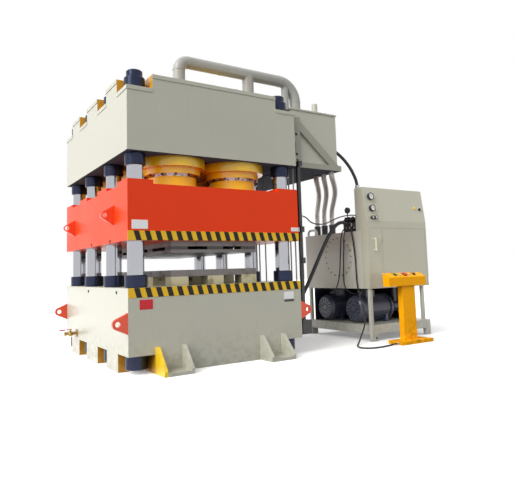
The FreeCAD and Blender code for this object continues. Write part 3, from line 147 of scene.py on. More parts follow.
def paint_group():
    """Gloss paint on welded plate: soft clouding, runs of dirt, dust near the floor, orange peel."""
    tree, given, out = new_group("painted steel", [
        ("Colour", "Color", (0.5, 0.5, 0.5, 1)),
        ("Dirt", "Color", (0.08, 0.07, 0.05, 1)),
        ("Clouding", "Float", 0.06),
        ("Runs", "Float", 0.1),
        ("Dust", "Float", 0.2),
        ("Wear", "Float", 0.1),
        ("Roughness", "Float", 0.35),
        ("Peel", "Float", 0.3),
    ], [("Colour", "Color"), ("Roughness", "Float"), ("Height", "Float")])
    place = place_on_part(tree)
    cloud = maths(tree, "SUBTRACT", noise(tree, place, scale=1.7, detail=5.0), 0.5)
    tall = add(tree, "ShaderNodeMapping", {"Vector": place, "Scale": (9.0, 9.0, 0.7)}).outputs[0]
    run = ramp(tree, noise(tree, tall, scale=2.4, detail=6.0, roughness=0.62), 0.56, 0.78)
    grains = ramp(tree, noise(tree, place, scale=14.0, detail=6.0), 0.35, 0.75)
    dust = times(tree, ramp(tree, along_axis(tree, place, "Z"), 0.55, 0.0), grains)
    speck = ramp(tree, noise(tree, place, scale=46.0, detail=3.0), 0.70, 0.76)
    shade = times(tree, cloud, given["Clouding"])
    bright = plus(tree, times(tree, shade, 2.0), 1.0)
    shading = add(tree, "ShaderNodeCombineColor", {0: bright, 1: bright, 2: bright}).outputs[0]
    colour = blend_colours(tree, 1.0, given["Colour"], shading, "MULTIPLY")
    colour = blend_colours(tree, times(tree, run, given["Runs"]), colour, given["Dirt"])
    colour = blend_colours(tree, times(tree, dust, given["Dust"]), colour, given["Dirt"])
    worn = times(tree, speck, given["Wear"])
    colour = blend_colours(tree, worn, colour, given["Dirt"])
    rough = plus(tree, given["Roughness"], times(tree, cloud, 0.22))
    rough = plus(tree, rough, times(tree, dust, 0.25), True)
    raised = times(tree, noise(tree, place, scale=130.0, detail=2.0), given["Peel"])
    raised = maths(tree, "SUBTRACT", raised, times(tree, worn, 0.8))
    feed(tree, out, {"Colour": colour, "Roughness": rough, "Height": raised})
    return tree


def metal_group():
    """Turned or plated steel: fine rings or strokes along a chosen way, smears of oil."""
    tree, given, out = new_group("worked steel", [
        ("Colour", "Color", (0.6, 0.6, 0.62, 1)),
        ("Stain", "Color", (0.12, 0.09, 0.06, 1)),
        ("Stretch", "Vector", (1.0, 1.0, 40.0)),
        ("Stains", "Float", 0.15),
        ("Roughness", "Float", 0.15),
        ("Grain", "Float", 0.3),
    ], [("Colour", "Color"), ("Roughness", "Float"), ("Height", "Float")])
    place = place_on_part(tree)
    long = add(tree, "ShaderNodeVectorMath", {0: place, 1: given["Stretch"]}, operation="MULTIPLY").outputs[0]
    grain = noise(tree, long, scale=9.0, detail=4.0)
    smears = ramp(tree, noise(tree, place, scale=6.0, detail=7.0), 0.5, 0.78)
    stain = times(tree, smears, given["Stains"])
    colour = blend_colours(tree, stain, given["Colour"], given["Stain"])
    rough = plus(tree, given["Roughness"], times(tree, stain, 0.5))
    strokes = times(tree, maths(tree, "SUBTRACT", grain, 0.5), times(tree, given["Grain"], 0.3))
    rough = plus(tree, rough, strokes, True)
    raised = times(tree, grain, given["Grain"])
    feed(tree, out, {"Colour": colour, "Roughness": rough, "Height": raised})
    return tree


def edge_group():
    """Bare or polished metal along the corners, found with a bevelled normal."""
    tree, given, out = new_group("rubbed edges", [
        ("Width", "Float", 0.004),
        ("Amount", "Float", 0.5),
    ], [("Mask", "Float"), ("Normal", "Vector")])
    soft = add(tree, "ShaderNodeBevel", {"Radius": given["Width"]}, samples=4).outputs[0]
    straight = add(tree, "ShaderNodeNewGeometry").outputs["True Normal"]
    facing = add(tree, "ShaderNodeVectorMath", {0: soft, 1: straight}, operation="DOT_PRODUCT")
    place = place_on_part(tree)
    broken = ramp(tree, noise(tree, place, scale=60.0, detail=5.0), 0.38, 0.62)
    edge = ramp(tree, facing.outputs["Value"], 0.97, 0.78)
    mask = times(tree, times(tree, edge, broken), given["Amount"])
    feed(tree, out, {"Mask": mask, "Normal": soft})
    return tree


PAINTED = paint_group()
WORKED = metal_group()
EDGES = edge_group()


def use_group(tree, group, **values):
    item = tree.nodes.new("ShaderNodeGroup")
    item.node_tree = group
    return feed(tree, item, values)


def new_material(name):
    material = bpy.data.materials.new(name)
    material.use_nodes = True
    tree = material.node_tree
    shader = [item for item in tree.nodes if item.type == "BSDF_PRINCIPLED"][0]
    return material, tree, shader


def bump(tree, height, distance, normal):
    inputs = {"Height": height, "Distance": distance, "Strength": 1.0, "Normal": normal}
    return add(tree, "ShaderNodeBump", inputs).outputs[0]


def lighter(colour, lift):
    return [min(255, value + lift) for value in colour]


PAINT_EDGE_LIFT, METAL_EDGE_LIFT = 34, 60  # how much paler a rubbed edge is
PAINT_RIM, METAL_RIM = 0.004, 0.003  # how wide it is
PAINT_RELIEF, METAL_RELIEF = 0.0006, 0.0003  # how high the skin's own relief stands


def paint(name, colour, dirt=(70, 62, 50), clouding=0.05, runs=0.08, dust=0.25, wear=0.15, roughness=0.34,
          peel=0.3, coat=0.35, edge=0.25, gloss=0.5, edge_colour=None, colour_socket=None, matt=None):
    """Paint of one colour, or of the colours that colour_socket gives; matt gives the share without gloss."""
    material, tree, shader = new_material(name)
    base = colour_socket(tree) if colour_socket else srgb(*colour)
    group = use_group(tree, PAINTED, Colour=base, Dirt=srgb(*dirt), Clouding=clouding, Runs=runs,
                      Dust=dust, Wear=wear, Roughness=roughness, Peel=peel)
    rim = use_group(tree, EDGES, Width=PAINT_RIM, Amount=edge)
    light = srgb(*(edge_colour or lighter(colour, PAINT_EDGE_LIFT)))
    mixed = blend_colours(tree, rim.outputs["Mask"], group.outputs["Colour"], light)
    rough = group.outputs["Roughness"]
    if matt:
        flat = matt(tree)
        rough = maths(tree, "MAXIMUM", rough, flat)
        coat = times(tree, maths(tree, "SUBTRACT", 1.0, flat), coat)
    relief = bump(tree, group.outputs["Height"], PAINT_RELIEF, rim.outputs["Normal"])
    feed(tree, shader, {"Base Color": mixed, "Roughness": rough, "Normal": relief, "Coat Weight": coat,
                        "Coat Roughness": 0.12, "Specular IOR Level": gloss})
    return material


def metal(name, colour, stain=(66, 56, 44), stretch=(1.0, 1.0, 40.0), stains=0.12, roughness=0.16,
          grain=0.25, metallic=1.0, edge=0.0):
    """Worked or plated metal; stretch turns its grain into rings or strokes."""
    material, tree, shader = new_material(name)
    group = use_group(tree, WORKED, Colour=srgb(*colour), Stain=srgb(*stain), Stretch=stretch,
                      Stains=stains, Roughness=roughness, Grain=grain)
    rim = use_group(tree, EDGES, Width=METAL_RIM, Amount=edge)
    light = srgb(*lighter(colour, METAL_EDGE_LIFT))
    mixed = blend_colours(tree, rim.outputs["Mask"], group.outputs["Colour"], light)
    relief = bump(tree, group.outputs["Height"], METAL_RELIEF, rim.outputs["Normal"])
    feed(tree, shader, {"Base Color": mixed, "Roughness": group.outputs["Roughness"], "Normal": relief,
                        "Metallic": metallic})
    return material


def within(tree, axis, low, high):
    """1 between two places on an axis of the part, 0 outside."""
    value = along_axis(tree, place_on_part(tree), axis)
    return times(tree, maths(tree, "GREATER_THAN", value, low), maths(tree, "LESS_THAN", value, high))


# ---------------- painted areas
GREY = (178, 177, 162)
PANEL_GREY = (192, 190, 171)
OIL_TANK_GREY = (206, 204, 190)
BRACE_GREY = (150, 148, 134)
# painted shade: dark navy on faces that point down, under the crown and the tank bracket
SKID_GREY = (196, 196, 184)
PAINTED_SHADE_NAVY = (38, 40, 54)
# painted shade: the dark navy of the sheet behind the motors stands in for the shade there
GUARD_PAINTED_SHADE = (28, 32, 48)
YELLOW = (250, 172, 6)
NOTCH_YELLOW = (216, 152, 30)
CYLINDER_YELLOW = (250, 198, 14)
GUSSET_YELLOW = (238, 196, 22)
STRIPE_YELLOW = (232, 186, 40)
STRIPE_BLACK = (28, 26, 24)
ORANGE = (234, 60, 8)
CHROME = (184, 185, 191)
# the clean-out cover's screws, coloured darker than the tank
DARK_SCREW_TONE = (84, 76, 66)
GAUGE_BLACK = (46, 46, 50)
LAMP_YELLOW = (244, 206, 40)
YELLOW_DIRT = (110, 70, 20)

low_corner, high_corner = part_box("base_frame")
crown_low, crown_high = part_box("crown_frame")
SLACK = 0.0005  # keeps rounding from deciding about a face that lies on a limit
SIDE = high_corner.x
NOTCH = 0.315
BASE_NOTCH_TOP = 0.215
CROWN_NOTCH_FLOOR = crown_high.z - 0.175
COVER_FACE_X = 2.625
GUSSET_THICKNESS = 0.040
GUARD_BACK_Y, GUARD_SIDE_X, GUARD_THICKNESS = 0.113, 3.852, 0.006
GUARD_LEFT_X, GUARD_FRONT_Y = 2.706, -1.045
GUARD_LOW, GUARD_HIGH = 0.245, 0.795
PANEL_LAMP_FROM_X = 3.7
RAM_FLANGE_TOP = 2.330
CHROME_GRAIN, CHROME_STAINS = 0.12, 0.05


def upward(tree):
    """The upward part of a face's direction: 1 on top, 0 on a wall, -1 underneath."""
    return along_axis(tree, add(tree, "ShaderNodeNewGeometry").outputs["True Normal"], "Z")


def facing_down(tree):
    return maths(tree, "LESS_THAN", upward(tree), -0.9)


def upright_faces(tree):
    return maths(tree, "LESS_THAN", maths(tree, "ABSOLUTE", upward(tree)), 0.5)


def frame_colour(tree):
    """Grey frame: yellow upright walls in the eight recesses, painted shade in dark navy under the crown."""
    inside_left = within(tree, "X", -SIDE + SLACK, -SIDE + NOTCH + SLACK)
    inside_right = within(tree, "X", SIDE - NOTCH - SLACK, SIDE - SLACK)
    sides = plus(tree, inside_left, inside_right, True)
    low = within(tree, "Z", low_corner.z - SLACK, BASE_NOTCH_TOP)
    high = within(tree, "Z", CROWN_NOTCH_FLOOR, crown_high.z + SLACK)
    levels = plus(tree, low, high, True)
    inner = within(tree, "Y", low_corner.y + SLACK, high_corner.y - SLACK)
    walls = times(tree, inner, upright_faces(tree))
    recesses = times(tree, times(tree, sides, levels), walls)
    # painted shade: the crown's underside is coloured dark navy
    underside = within(tree, "Z", crown_low.z - SLACK, crown_low.z + SLACK)
    below = times(tree, facing_down(tree), underside)
    grey = blend_colours(tree, below, srgb(*GREY), srgb(*PAINTED_SHADE_NAVY))
    return blend_colours(tree, recesses, grey, srgb(*NOTCH_YELLOW))


def brace_colour(tree):
    """The bracket is grey above, with painted shade in dark navy on its faces that point down."""
    return blend_colours(tree, facing_down(tree), srgb(*BRACE_GREY), srgb(*PAINTED_SHADE_NAVY))


def oil_tank_colour(tree):
    """The clean-out cover's screws are coloured darker than the tank."""
    screws = within(tree, "X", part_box("oil_tank")[0].x - SLACK, COVER_FACE_X - SLACK)
    return blend_colours(tree, screws, srgb(*OIL_TANK_GREY), srgb(*DARK_SCREW_TONE))


def bracket_colour(tree):
    """The outermost gusset of the left bracket is yellow."""
    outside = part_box("foot_bracket_left")[0].x
    gusset = within(tree, "X", outside - SLACK, outside + GUSSET_THICKNESS + SLACK)
    return blend_colours(tree, gusset, srgb(*GREY), srgb(*GUSSET_YELLOW))


def stripe_colour(tree):
    """Raised bars are black, the ground between them yellow."""
    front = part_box("base_hazard_strip")[0].y
    bars = within(tree, "Y", front - SLACK, front + SLACK)
    return blend_colours(tree, bars, srgb(*STRIPE_YELLOW), srgb(*STRIPE_BLACK))


def skid_colour(tree):
    """The splash guard behind the motors is a dark navy sheet painted as the shade there, the rails and legs
    are grey.
    """
    back_end = GUARD_BACK_Y + GUARD_THICKNESS + SLACK
    side_end = GUARD_SIDE_X + GUARD_THICKNESS + SLACK
    back = times(tree, within(tree, "Y", GUARD_BACK_Y - SLACK, back_end),
                 within(tree, "X", GUARD_LEFT_X - SLACK, side_end))
    side = times(tree, within(tree, "X", GUARD_SIDE_X - SLACK, side_end),
                 within(tree, "Y", GUARD_FRONT_Y - SLACK, back_end))
    sheets = plus(tree, back, side, True)
    # painted shade: the guard sheets take the dark navy colour
    guard = times(tree, sheets, within(tree, "Z", GUARD_LOW, GUARD_HIGH))
    return blend_colours(tree, guard, srgb(*SKID_GREY), srgb(*GUARD_PAINTED_SHADE))


def gauge_colour(tree):
    """Black gauge cases; the small lamp at the right is yellow."""
    lamp = within(tree, "X", PANEL_LAMP_FROM_X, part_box("panel_gauges")[1].x + SLACK)
    return blend_colours(tree, lamp, srgb(*GAUGE_BLACK), srgb(*LAMP_YELLOW))


def ram_material():
    """Chrome rams whose bolted end flanges are painted yellow."""
    material, tree, shader = new_material("ram steel")
    flange = within(tree, "Z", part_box("rams")[0].z - SLACK, RAM_FLANGE_TOP + SLACK)
    colour = blend_colours(tree, flange, srgb(*CHROME), srgb(*CYLINDER_YELLOW))
    finish = use_group(tree, WORKED, Colour=colour, Stretch=(1.0, 1.0, 40.0), Stains=CHROME_STAINS,
                       Roughness=0.09, Grain=CHROME_GRAIN)
    rim = use_group(tree, EDGES, Width=METAL_RIM, Amount=0.0)
    rough = plus(tree, finish.outputs["Roughness"], times(tree, flange, 0.25))
    relief = bump(tree, finish.outputs["Height"], METAL_RELIEF, rim.outputs["Normal"])
    feed(tree, shader, {"Base Color": finish.outputs["Colour"], "Roughness": rough, "Normal": relief,
                        "Metallic": maths(tree, "SUBTRACT", 1.0, flange)})
    return material


# ---------------- finishes
frame_paint = paint("frame paint", GREY, colour_socket=frame_colour, matt=facing_down)
bracket_paint = paint("bracket paint", GREY, colour_socket=bracket_colour)
panel_paint = paint("panel paint", PANEL_GREY, dust=0.15)
tank_paint = paint("tank paint", (180, 179, 164), clouding=0.07, runs=0.12, dust=0.1)
oil_tank_paint = paint("oil tank paint", OIL_TANK_GREY, clouding=0.1, runs=0.3, dust=0.1, wear=0.3,
                       colour_socket=oil_tank_colour)
brace_paint = paint("brace paint", BRACE_GREY, clouding=0.07, runs=0.14, dust=0.1,
                    colour_socket=brace_colour, matt=facing_down)
handle_paint = paint("handle enamel", (240, 230, 200), roughness=0.3, dust=0.0, edge=0.1)
orange_paint = paint("platen paint", ORANGE, dirt=(90, 40, 20), coat=0.1, roughness=0.4, runs=0.05,
                     edge=0.2, gloss=0.18, edge_colour=(236, 110, 60))
lug_paint = paint("lug paint", (228, 70, 26), dirt=(80, 34, 20), coat=0.4)
yellow_paint = paint("cylinder paint", CYLINDER_YELLOW, dirt=YELLOW_DIRT, coat=0.5, roughness=0.24)
stand_paint = paint("pedestal paint", YELLOW, dirt=YELLOW_DIRT, coat=0.0, roughness=0.44, runs=0.12, dust=0.5,
                    gloss=0.12)
navy_paint = metal("blued steel", (40, 46, 68), metallic=0.75, roughness=0.26, stains=0.2, edge=0.6)
chrome = metal("hard chrome", CHROME, roughness=0.07, stains=CHROME_STAINS, grain=CHROME_GRAIN)
bronze = metal("bearing bronze", (176, 132, 70), roughness=0.3, stains=0.3)
stripes = paint("hazard stripes", STRIPE_YELLOW, wear=0.3, edge=0.2, coat=0.05, gloss=0.2,
                colour_socket=stripe_colour)
tool_steel = metal("ground tool steel", (108, 104, 102), stretch=(1.0, 40.0, 1.0), roughness=0.36,
                   stains=0.55, metallic=0.85, edge=0.5)
spacer_steel = metal("worn spacer steel", (176, 168, 138), roughness=0.4, stains=0.7, metallic=0.6, edge=0.5)
block_paint = metal("dark machine blocks", (74, 72, 72), roughness=0.42, stains=0.5, metallic=0.7, edge=0.5)
bolt_steel = metal("black bolt steel", (52, 52, 56), roughness=0.36, metallic=0.8, edge=0.5)
pipe_paint = paint("pipe paint", (152, 152, 147), roughness=0.42, coat=0.15, clouding=0.12, runs=0.2,
                   wear=0.3)
return_paint = paint("return pipe paint", (248, 245, 240), roughness=0.42, coat=0.15)
black_paint = paint("black enamel", (24, 24, 26), dirt=(60, 55, 50), edge_colour=(70, 70, 72),
                    dust=0.5, coat=0.3)
motor_paint = paint("motor paint", (58, 63, 84), dirt=(60, 58, 56), dust=0.3, roughness=0.36, coat=0.4)
skid_paint = paint("skid paint", SKID_GREY, colour_socket=skid_colour)
ram_finish = ram_material()
gauge_paint = paint("gauge case paint", GAUGE_BLACK, coat=0.3, dust=0.0, edge_colour=(110, 110, 112),
                    colour_socket=gauge_colour)
bellows_rubber = paint("bellows rubber", (96, 96, 100), dirt=(60, 58, 54), roughness=0.5, coat=0.05,
                       peel=0.4, edge=0.3)
rubber = paint("black rubber", (26, 26, 27), dirt=(90, 84, 74), roughness=0.6, coat=0.0, peel=0.6, edge=0.1)
jacket = paint("cable jacket", (20, 20, 22), dirt=(84, 78, 70), roughness=0.48, coat=0.05, edge=0.0)
gauge_rim = metal("gauge case", (60, 60, 64), roughness=0.3, metallic=0.8)
red_plastic = paint("red plastic", (196, 28, 24), roughness=0.3, coat=0.4, dust=0.0)
green_plastic = paint("green plastic", (30, 130, 60), roughness=0.3, coat=0.4, dust=0.0)
black_plastic = paint("black plastic", (26, 26, 28), roughness=0.4, coat=0.2, dust=0.0)
brass = metal("valve brass", (168, 140, 84), roughness=0.3, stains=0.3)
steel = metal("bright steel", (188, 190, 194), roughness=0.24, stains=0.2, edge=0.3)
lamp_lens = paint("lamp lens", (226, 228, 214), roughness=0.2, coat=0.8, dust=0.0)

FINISHES = {
    "base_frame": frame_paint, "crown_frame": frame_paint,
    "foot_bracket_left": bracket_paint, "foot_bracket_right": bracket_paint,
    "base_lugs": lug_paint, "platen_lugs": lug_paint,
    "columns_left": chrome, "columns_right": chrome,
    "tie_nuts": navy_paint, "column_collars": navy_paint,
    "platen": orange_paint, "guide_bushes": bronze,
    "base_hazard_strip": stripes, "platen_hazard_strip": stripes,
    "head_nuts": yellow_paint, "gland_bolts": bolt_steel, "rams": ram_finish,
    "lower_spacers": spacer_steel, "upper_spacers": block_paint,
    "lower_die_plate": tool_steel, "upper_bolster": tool_steel, "upper_die_plate": tool_steel,
    "prefill_pipe": pipe_paint, "prefill_tank": tank_paint, "tank_bracket": brace_paint,
    "return_pipes": return_paint, "pipe_bellows": bellows_rubber,
    "switch_rail": black_paint, "switch_striker": steel, "side_lines": pipe_paint,
    "skid_frame": skid_paint, "oil_tank": oil_tank_paint, "cabinet": panel_paint, "cabinet_door": panel_paint,
    "door_handle": handle_paint, "panel_gauges": gauge_paint, "mode_selector": black_plastic,
    "drive_motors": motor_paint, "pumps": motor_paint, "valve_block": black_paint,
    "drain_valve_body": brass, "drain_valve_lever": red_plastic,
    "pedestal_stand": stand_paint, "pedestal_head": stand_paint,
    "cord_fittings": steel, "pilot_lamps": lamp_lens,
    "button_close": green_plastic, "button_open": black_plastic, "emergency_stop": red_plastic,
}
CYLINDERS = ["cylinder_" + str(number) for number in range(1, 7)]
for name in CYLINDERS:
    FINISHES[name] = yellow_paint


def dress(item, material):
    item.data.materials.clear()
    item.data.materials.append(material)


for name, material in FINISHES.items():
    dress(nodes[name], material)

ROUND_NODES = CYLINDERS + [
    "columns_left", "columns_right", "tie_nuts", "column_collars", "guide_bushes", "head_nuts", "rams",
    "base_lugs", "platen_lugs", "prefill_pipe", "prefill_tank", "return_pipes", "pipe_bellows", "side_lines",
    "switch_rail", "oil_tank", "drive_motors", "pumps", "valve_block", "panel_gauges", "mode_selector",
    "door_handle", "cord_fittings", "pilot_lamps", "drain_valve_body", "button_close", "button_open",
    "emergency_stop",
]
CAD_MERGE, OWN_MERGE = 2e-5, 1e-6  # corners nearer than this are one corner
CAD_CORNER, OWN_CORNER = math.radians(38), math.radians(35)  # a sharper bend stays an edge


def in_scene(name, data):
    item = bpy.data.objects.new(name, data)
    scene.collection.objects.link(item)
    return item


def add_piece(name, mesh, body):
    """A mesh as a piece of the scene that rides on a body of the part."""
    piece = in_scene(name, mesh)
    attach(piece, body)
    return piece


def shade_smooth(mesh, corner):
    for face in mesh.polygons:
        face.use_smooth = True
    mesh.set_sharp_from_angle(angle=corner)


def smooth_copy(name, body):
    """A merged copy of a CAD node, so that its round faces shade smoothly between sharp corners."""
    shape = bmesh.new()
    shape.from_mesh(nodes[name].data)
    bmesh.ops.remove_doubles(shape, verts=shape.verts, dist=CAD_MERGE)
    mesh = bpy.data.meshes.new(name + "_smooth")
    shape.to_mesh(mesh)
    shape.free()
    for label in ("custom_normal", "sharp_face", "sharp_edge"):
        if label in mesh.attributes:
            mesh.attributes.remove(mesh.attributes[label])
    mesh.materials.append(FINISHES[name])
    shade_smooth(mesh, CAD_CORNER)
    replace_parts(add_piece(name + "_smooth", mesh, body), name)


for body, names in frame["record"]["behaviour"]["bodies"].items():
    for name in names:
        if name in ROUND_NODES:
            smooth_copy(name, body)


# ---------------- camera
# worked out from the photograph; angles in radians, lengths on the picture in its own pixels
CAMERA_YAW, CAMERA_PITCH, CAMERA_ROLL = 0.5698044, 0.0961580, -0.0302405
CAMERA_PLACE = (-3.166199, -7.203051, 1.129507)
PHOTO_WIDTH, PHOTO_HEIGHT = 514, 501
FOCAL_LENGTH = 525.1334
CENTRE_ACROSS, CENTRE_DOWN = 255.919, 219.936
SENSOR_WIDTH = 36.0


def make_camera():
    ahead = math.cos(CAMERA_PITCH)
    forward = Vector((math.sin(CAMERA_YAW) * ahead, math.cos(CAMERA_YAW) * ahead, math.sin(CAMERA_PITCH)))
    right = Vector((math.cos(CAMERA_YAW), -math.sin(CAMERA_YAW), 0.0))
    up = right.cross(forward)
    rolled_right = math.cos(CAMERA_ROLL) * right + math.sin(CAMERA_ROLL) * up
    rolled_up = -math.sin(CAMERA_ROLL) * right + math.cos(CAMERA_ROLL) * up
    data = bpy.data.cameras.new("Camera")
    data.sensor_fit = "HORIZONTAL"
    data.sensor_width = SENSOR_WIDTH
    data.lens = FOCAL_LENGTH / PHOTO_WIDTH * SENSOR_WIDTH
    data.shift_x = (PHOTO_WIDTH / 2 - CENTRE_ACROSS) / PHOTO_WIDTH
    data.shift_y = (CENTRE_DOWN - PHOTO_HEIGHT / 2) / PHOTO_WIDTH
    data.clip_end = 200.0
    camera = in_scene("Camera", data)
    turn = Matrix((rolled_right, rolled_up, -forward)).transposed().to_4x4()
    camera.matrix_world = Matrix.Translation(CAMERA_PLACE) @ turn
    scene.camera = camera


make_camera()


# ---------------- free hoses and cables
def smooth_line(name, points, radius, material):
    """A round cord on one smooth curve that follows the route's corners."""
    curve = bpy.data.curves.new(name, "CURVE")
    curve.dimensions = "3D"
    curve.bevel_depth = radius
    curve.bevel_resolution = 5
    curve.resolution_u = 10
    curve.use_fill_caps = True
    spline = curve.splines.new("NURBS")
    spline.points.add(len(points) - 1)
    for target, point in zip(spline.points, points):
        target.co = (*point, 1.0)
    spline.order_u = 3
    spline.use_endpoint_u = True
    item = in_scene(name, curve)
    dress(item, material)
    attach(item, "press")
    return item


PRESSURE_HOSE = [
    (2.6647, -0.955, 1.812), (2.550, -0.955, 1.812), (2.380, -1.050, 1.850), (2.175, -1.115, 1.790),
    (2.000, -1.135, 1.600), (1.830, -1.142, 1.340), (1.665, -1.145, 1.060), (1.515, -1.142, 0.815),
    (1.425, -1.136, 0.688), (1.3253, -1.130, 0.592), (1.2053, -1.130, 0.592),
]
SWITCH_CABLE = [
    (1.3103, -1.392, 1.868), (1.3853, -1.392, 1.868), (1.470, -1.390, 1.785), (1.610, -1.370, 1.760),
    (1.800, -1.320, 1.775), (2.000, -1.245, 1.840), (2.220, -1.165, 1.905), (2.430, -1.118, 1.945),
    (2.560, -1.110, 1.950), (2.6347, -1.110, 1.950),
]
CABINET_HOSE = [
    (2.0803, -1.055, 3.000), (2.1753, -1.055, 3.000), (2.280, -1.080, 2.940), (2.385, -1.110, 2.850),
    (2.480, -1.128, 2.745), (2.565, -1.130, 2.640), (2.672, -1.110, 2.475), (2.672, -1.110, 2.3853),
]
MOTOR_CABLE_FRONT = [
    (2.6647, -0.905, 1.765), (2.605, -0.905, 1.765), (2.572, -0.880, 1.710), (2.578, -0.840, 1.600),
    (2.596, -0.812, 1.460), (2.590, -0.796, 1.290), (2.598, -0.785, 1.120), (2.592, -0.778, 0.950),
    (2.602, -0.782, 0.835), (2.650, -0.796, 0.755), (2.740, -0.810, 0.715), (2.840, -0.815, 0.702),
    (2.9397, -0.815, 0.702),
]
MOTOR_CABLE_REAR = [
    (2.6647, -0.835, 1.765), (2.608, -0.835, 1.765), (2.576, -0.805, 1.705), (2.582, -0.760, 1.580),
    (2.596, -0.735, 1.430), (2.590, -0.715, 1.260), (2.598, -0.695, 1.090), (2.590, -0.665, 0.930),
    (2.602, -0.590, 0.810), (2.650, -0.455, 0.738), (2.735, -0.280, 0.712), (2.800, -0.160, 0.704),
    (2.860, -0.105, 0.702), (2.9397, -0.105, 0.702),
]
PEDESTAL_CABLE = [
    (2.6647, -1.005, 1.765), (2.608, -1.005, 1.765), (2.570, -1.030, 1.700), (2.578, -1.055, 1.560),
    (2.590, -1.064, 1.380), (2.594, -1.074, 1.190), (2.590, -1.077, 1.000), (2.597, -1.086, 0.815),
    (2.600, -1.146, 0.628), (2.598, -1.232, 0.365), (2.525, -1.276, 0.245), (2.430, -1.302, 0.130),
    (2.345, -1.340, 0.040), (2.260, -1.398, 0.0117), (2.180, -1.470, 0.0117), (2.105, -1.560, 0.0117),
    (2.058, -1.655, 0.0117), (2.085, -1.748, 0.0117), (2.170, -1.800, 0.0117), (2.290, -1.812, 0.0117),
    (2.430, -1.798, 0.0117), (2.530, -1.790, 0.016), (2.600, -1.790, 0.022), (2.6797, -1.790, 0.022),
]

for name, points, radius, length, stiffness, lay, node, material in (
    ("pressure_hose_line", PRESSURE_HOSE, 0.0275, 2.114, "stiff", "hanging", "pressure_hose", rubber),
    ("switch_cable_line", SWITCH_CABLE, 0.009, 1.415, "medium", "hanging", "switch_cable", jacket),
    ("cabinet_hose_line", CABINET_HOSE, 0.024, 0.919, "stiff", "hanging", "cabinet_hose", rubber),
    ("motor_cable_front", MOTOR_CABLE_FRONT, 0.009, 1.398, "medium", "hanging", "motor_cables", jacket),
    ("motor_cable_rear", MOTOR_CABLE_REAR, 0.009, 1.701, "medium", "hanging", "motor_cables", jacket),
    ("pedestal_cable_line", PEDESTAL_CABLE, 0.0115, 3.046, "medium", "loose", "pedestal_cable", jacket),
):
    line = smooth_line(name, points, radius, material)
    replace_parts(line, node)


# ---------------- small parts from node trees
def geometry_tree(name, inputs):
    tree = bpy.data.node_groups.new(name, "GeometryNodeTree")
    tree.interface.new_socket("Geometry", in_out="INPUT", socket_type="NodeSocketGeometry")
    for label, value in inputs.items():
        socket = tree.interface.new_socket(label, in_out="INPUT", socket_type="NodeSocketFloat")
        socket.default_value = value
    tree.interface.new_socket("Finish", in_out="INPUT", socket_type="NodeSocketMaterial")
    tree.interface.new_socket("Geometry", in_out="OUTPUT", socket_type="NodeSocketGeometry")
    return tree, tree.nodes.new("NodeGroupInput").outputs


def on_points(tree, given, shape):
    """A copy of a shape on every loose point, turned and sized by the point's own values."""
    aim = add(tree, "GeometryNodeInputNamedAttribute", {"Name": "aim"}, data_type="FLOAT_VECTOR").outputs[0]
    size = add(tree, "GeometryNodeInputNamedAttribute", {"Name": "size"}, data_type="FLOAT").outputs[0]
    turn = add(tree, "FunctionNodeAlignRotationToVector", {"Vector": aim}, axis="Z").outputs[0]
    return add(tree, "GeometryNodeInstanceOnPoints", {
        "Points": given["Geometry"], "Instance": shape, "Rotation": turn, "Scale": size}).outputs[0]


def end_tree(tree, given, shape):
    real = add(tree, "GeometryNodeRealizeInstances", {"Geometry": shape}).outputs[0]
    done = add(tree, "GeometryNodeSetMaterial", {"Geometry": real, "Material": given["Finish"]}).outputs[0]
    add(tree, "NodeGroupOutput", {0: done})
    return tree


def raised(tree, shape, height):
    lift = add(tree, "ShaderNodeCombineXYZ", {"Z": height}).outputs[0]
    return add(tree, "GeometryNodeTransform", {"Geometry": shape, "Translation": lift}).outputs[0]


def hexagon_heads():
    """A chamfered hexagon head on a round washer, one unit across its corners."""
    tree, given = geometry_tree("hexagon heads", {
        "Head height": 0.5, "Washer radius": 0.62, "Washer height": 0.1})
    half = times(tree, given["Head height"], 0.5)
    head = add(tree, "GeometryNodeMeshCylinder", {
        "Vertices": 6, "Radius": 0.5, "Depth": given["Head height"]}).outputs[0]
    crown = add(tree, "GeometryNodeMeshCone", {
        "Vertices": 6, "Radius Bottom": 0.5, "Radius Top": 0.4, "Depth": 0.07}).outputs[0]
    washer = add(tree, "GeometryNodeMeshCylinder", {
        "Vertices": 16, "Radius": given["Washer radius"], "Depth": given["Washer height"]}).outputs[0]
    foot = times(tree, given["Washer height"], 0.5)
    seat = plus(tree, half, given["Washer height"])
    top = plus(tree, given["Head height"], given["Washer height"])
    joined = tree.nodes.new("GeometryNodeJoinGeometry")
    for piece in (raised(tree, head, seat), raised(tree, crown, top), raised(tree, washer, foot)):
        tree.links.new(piece, joined.inputs[0])
    return end_tree(tree, given, on_points(tree, given, joined.outputs[0]))


def circle_curve(tree, steps, radius):
    inputs = {"Resolution": steps, "Radius": radius}
    return add(tree, "GeometryNodeCurvePrimitiveCircle", inputs, mode="RADIUS").outputs[0]


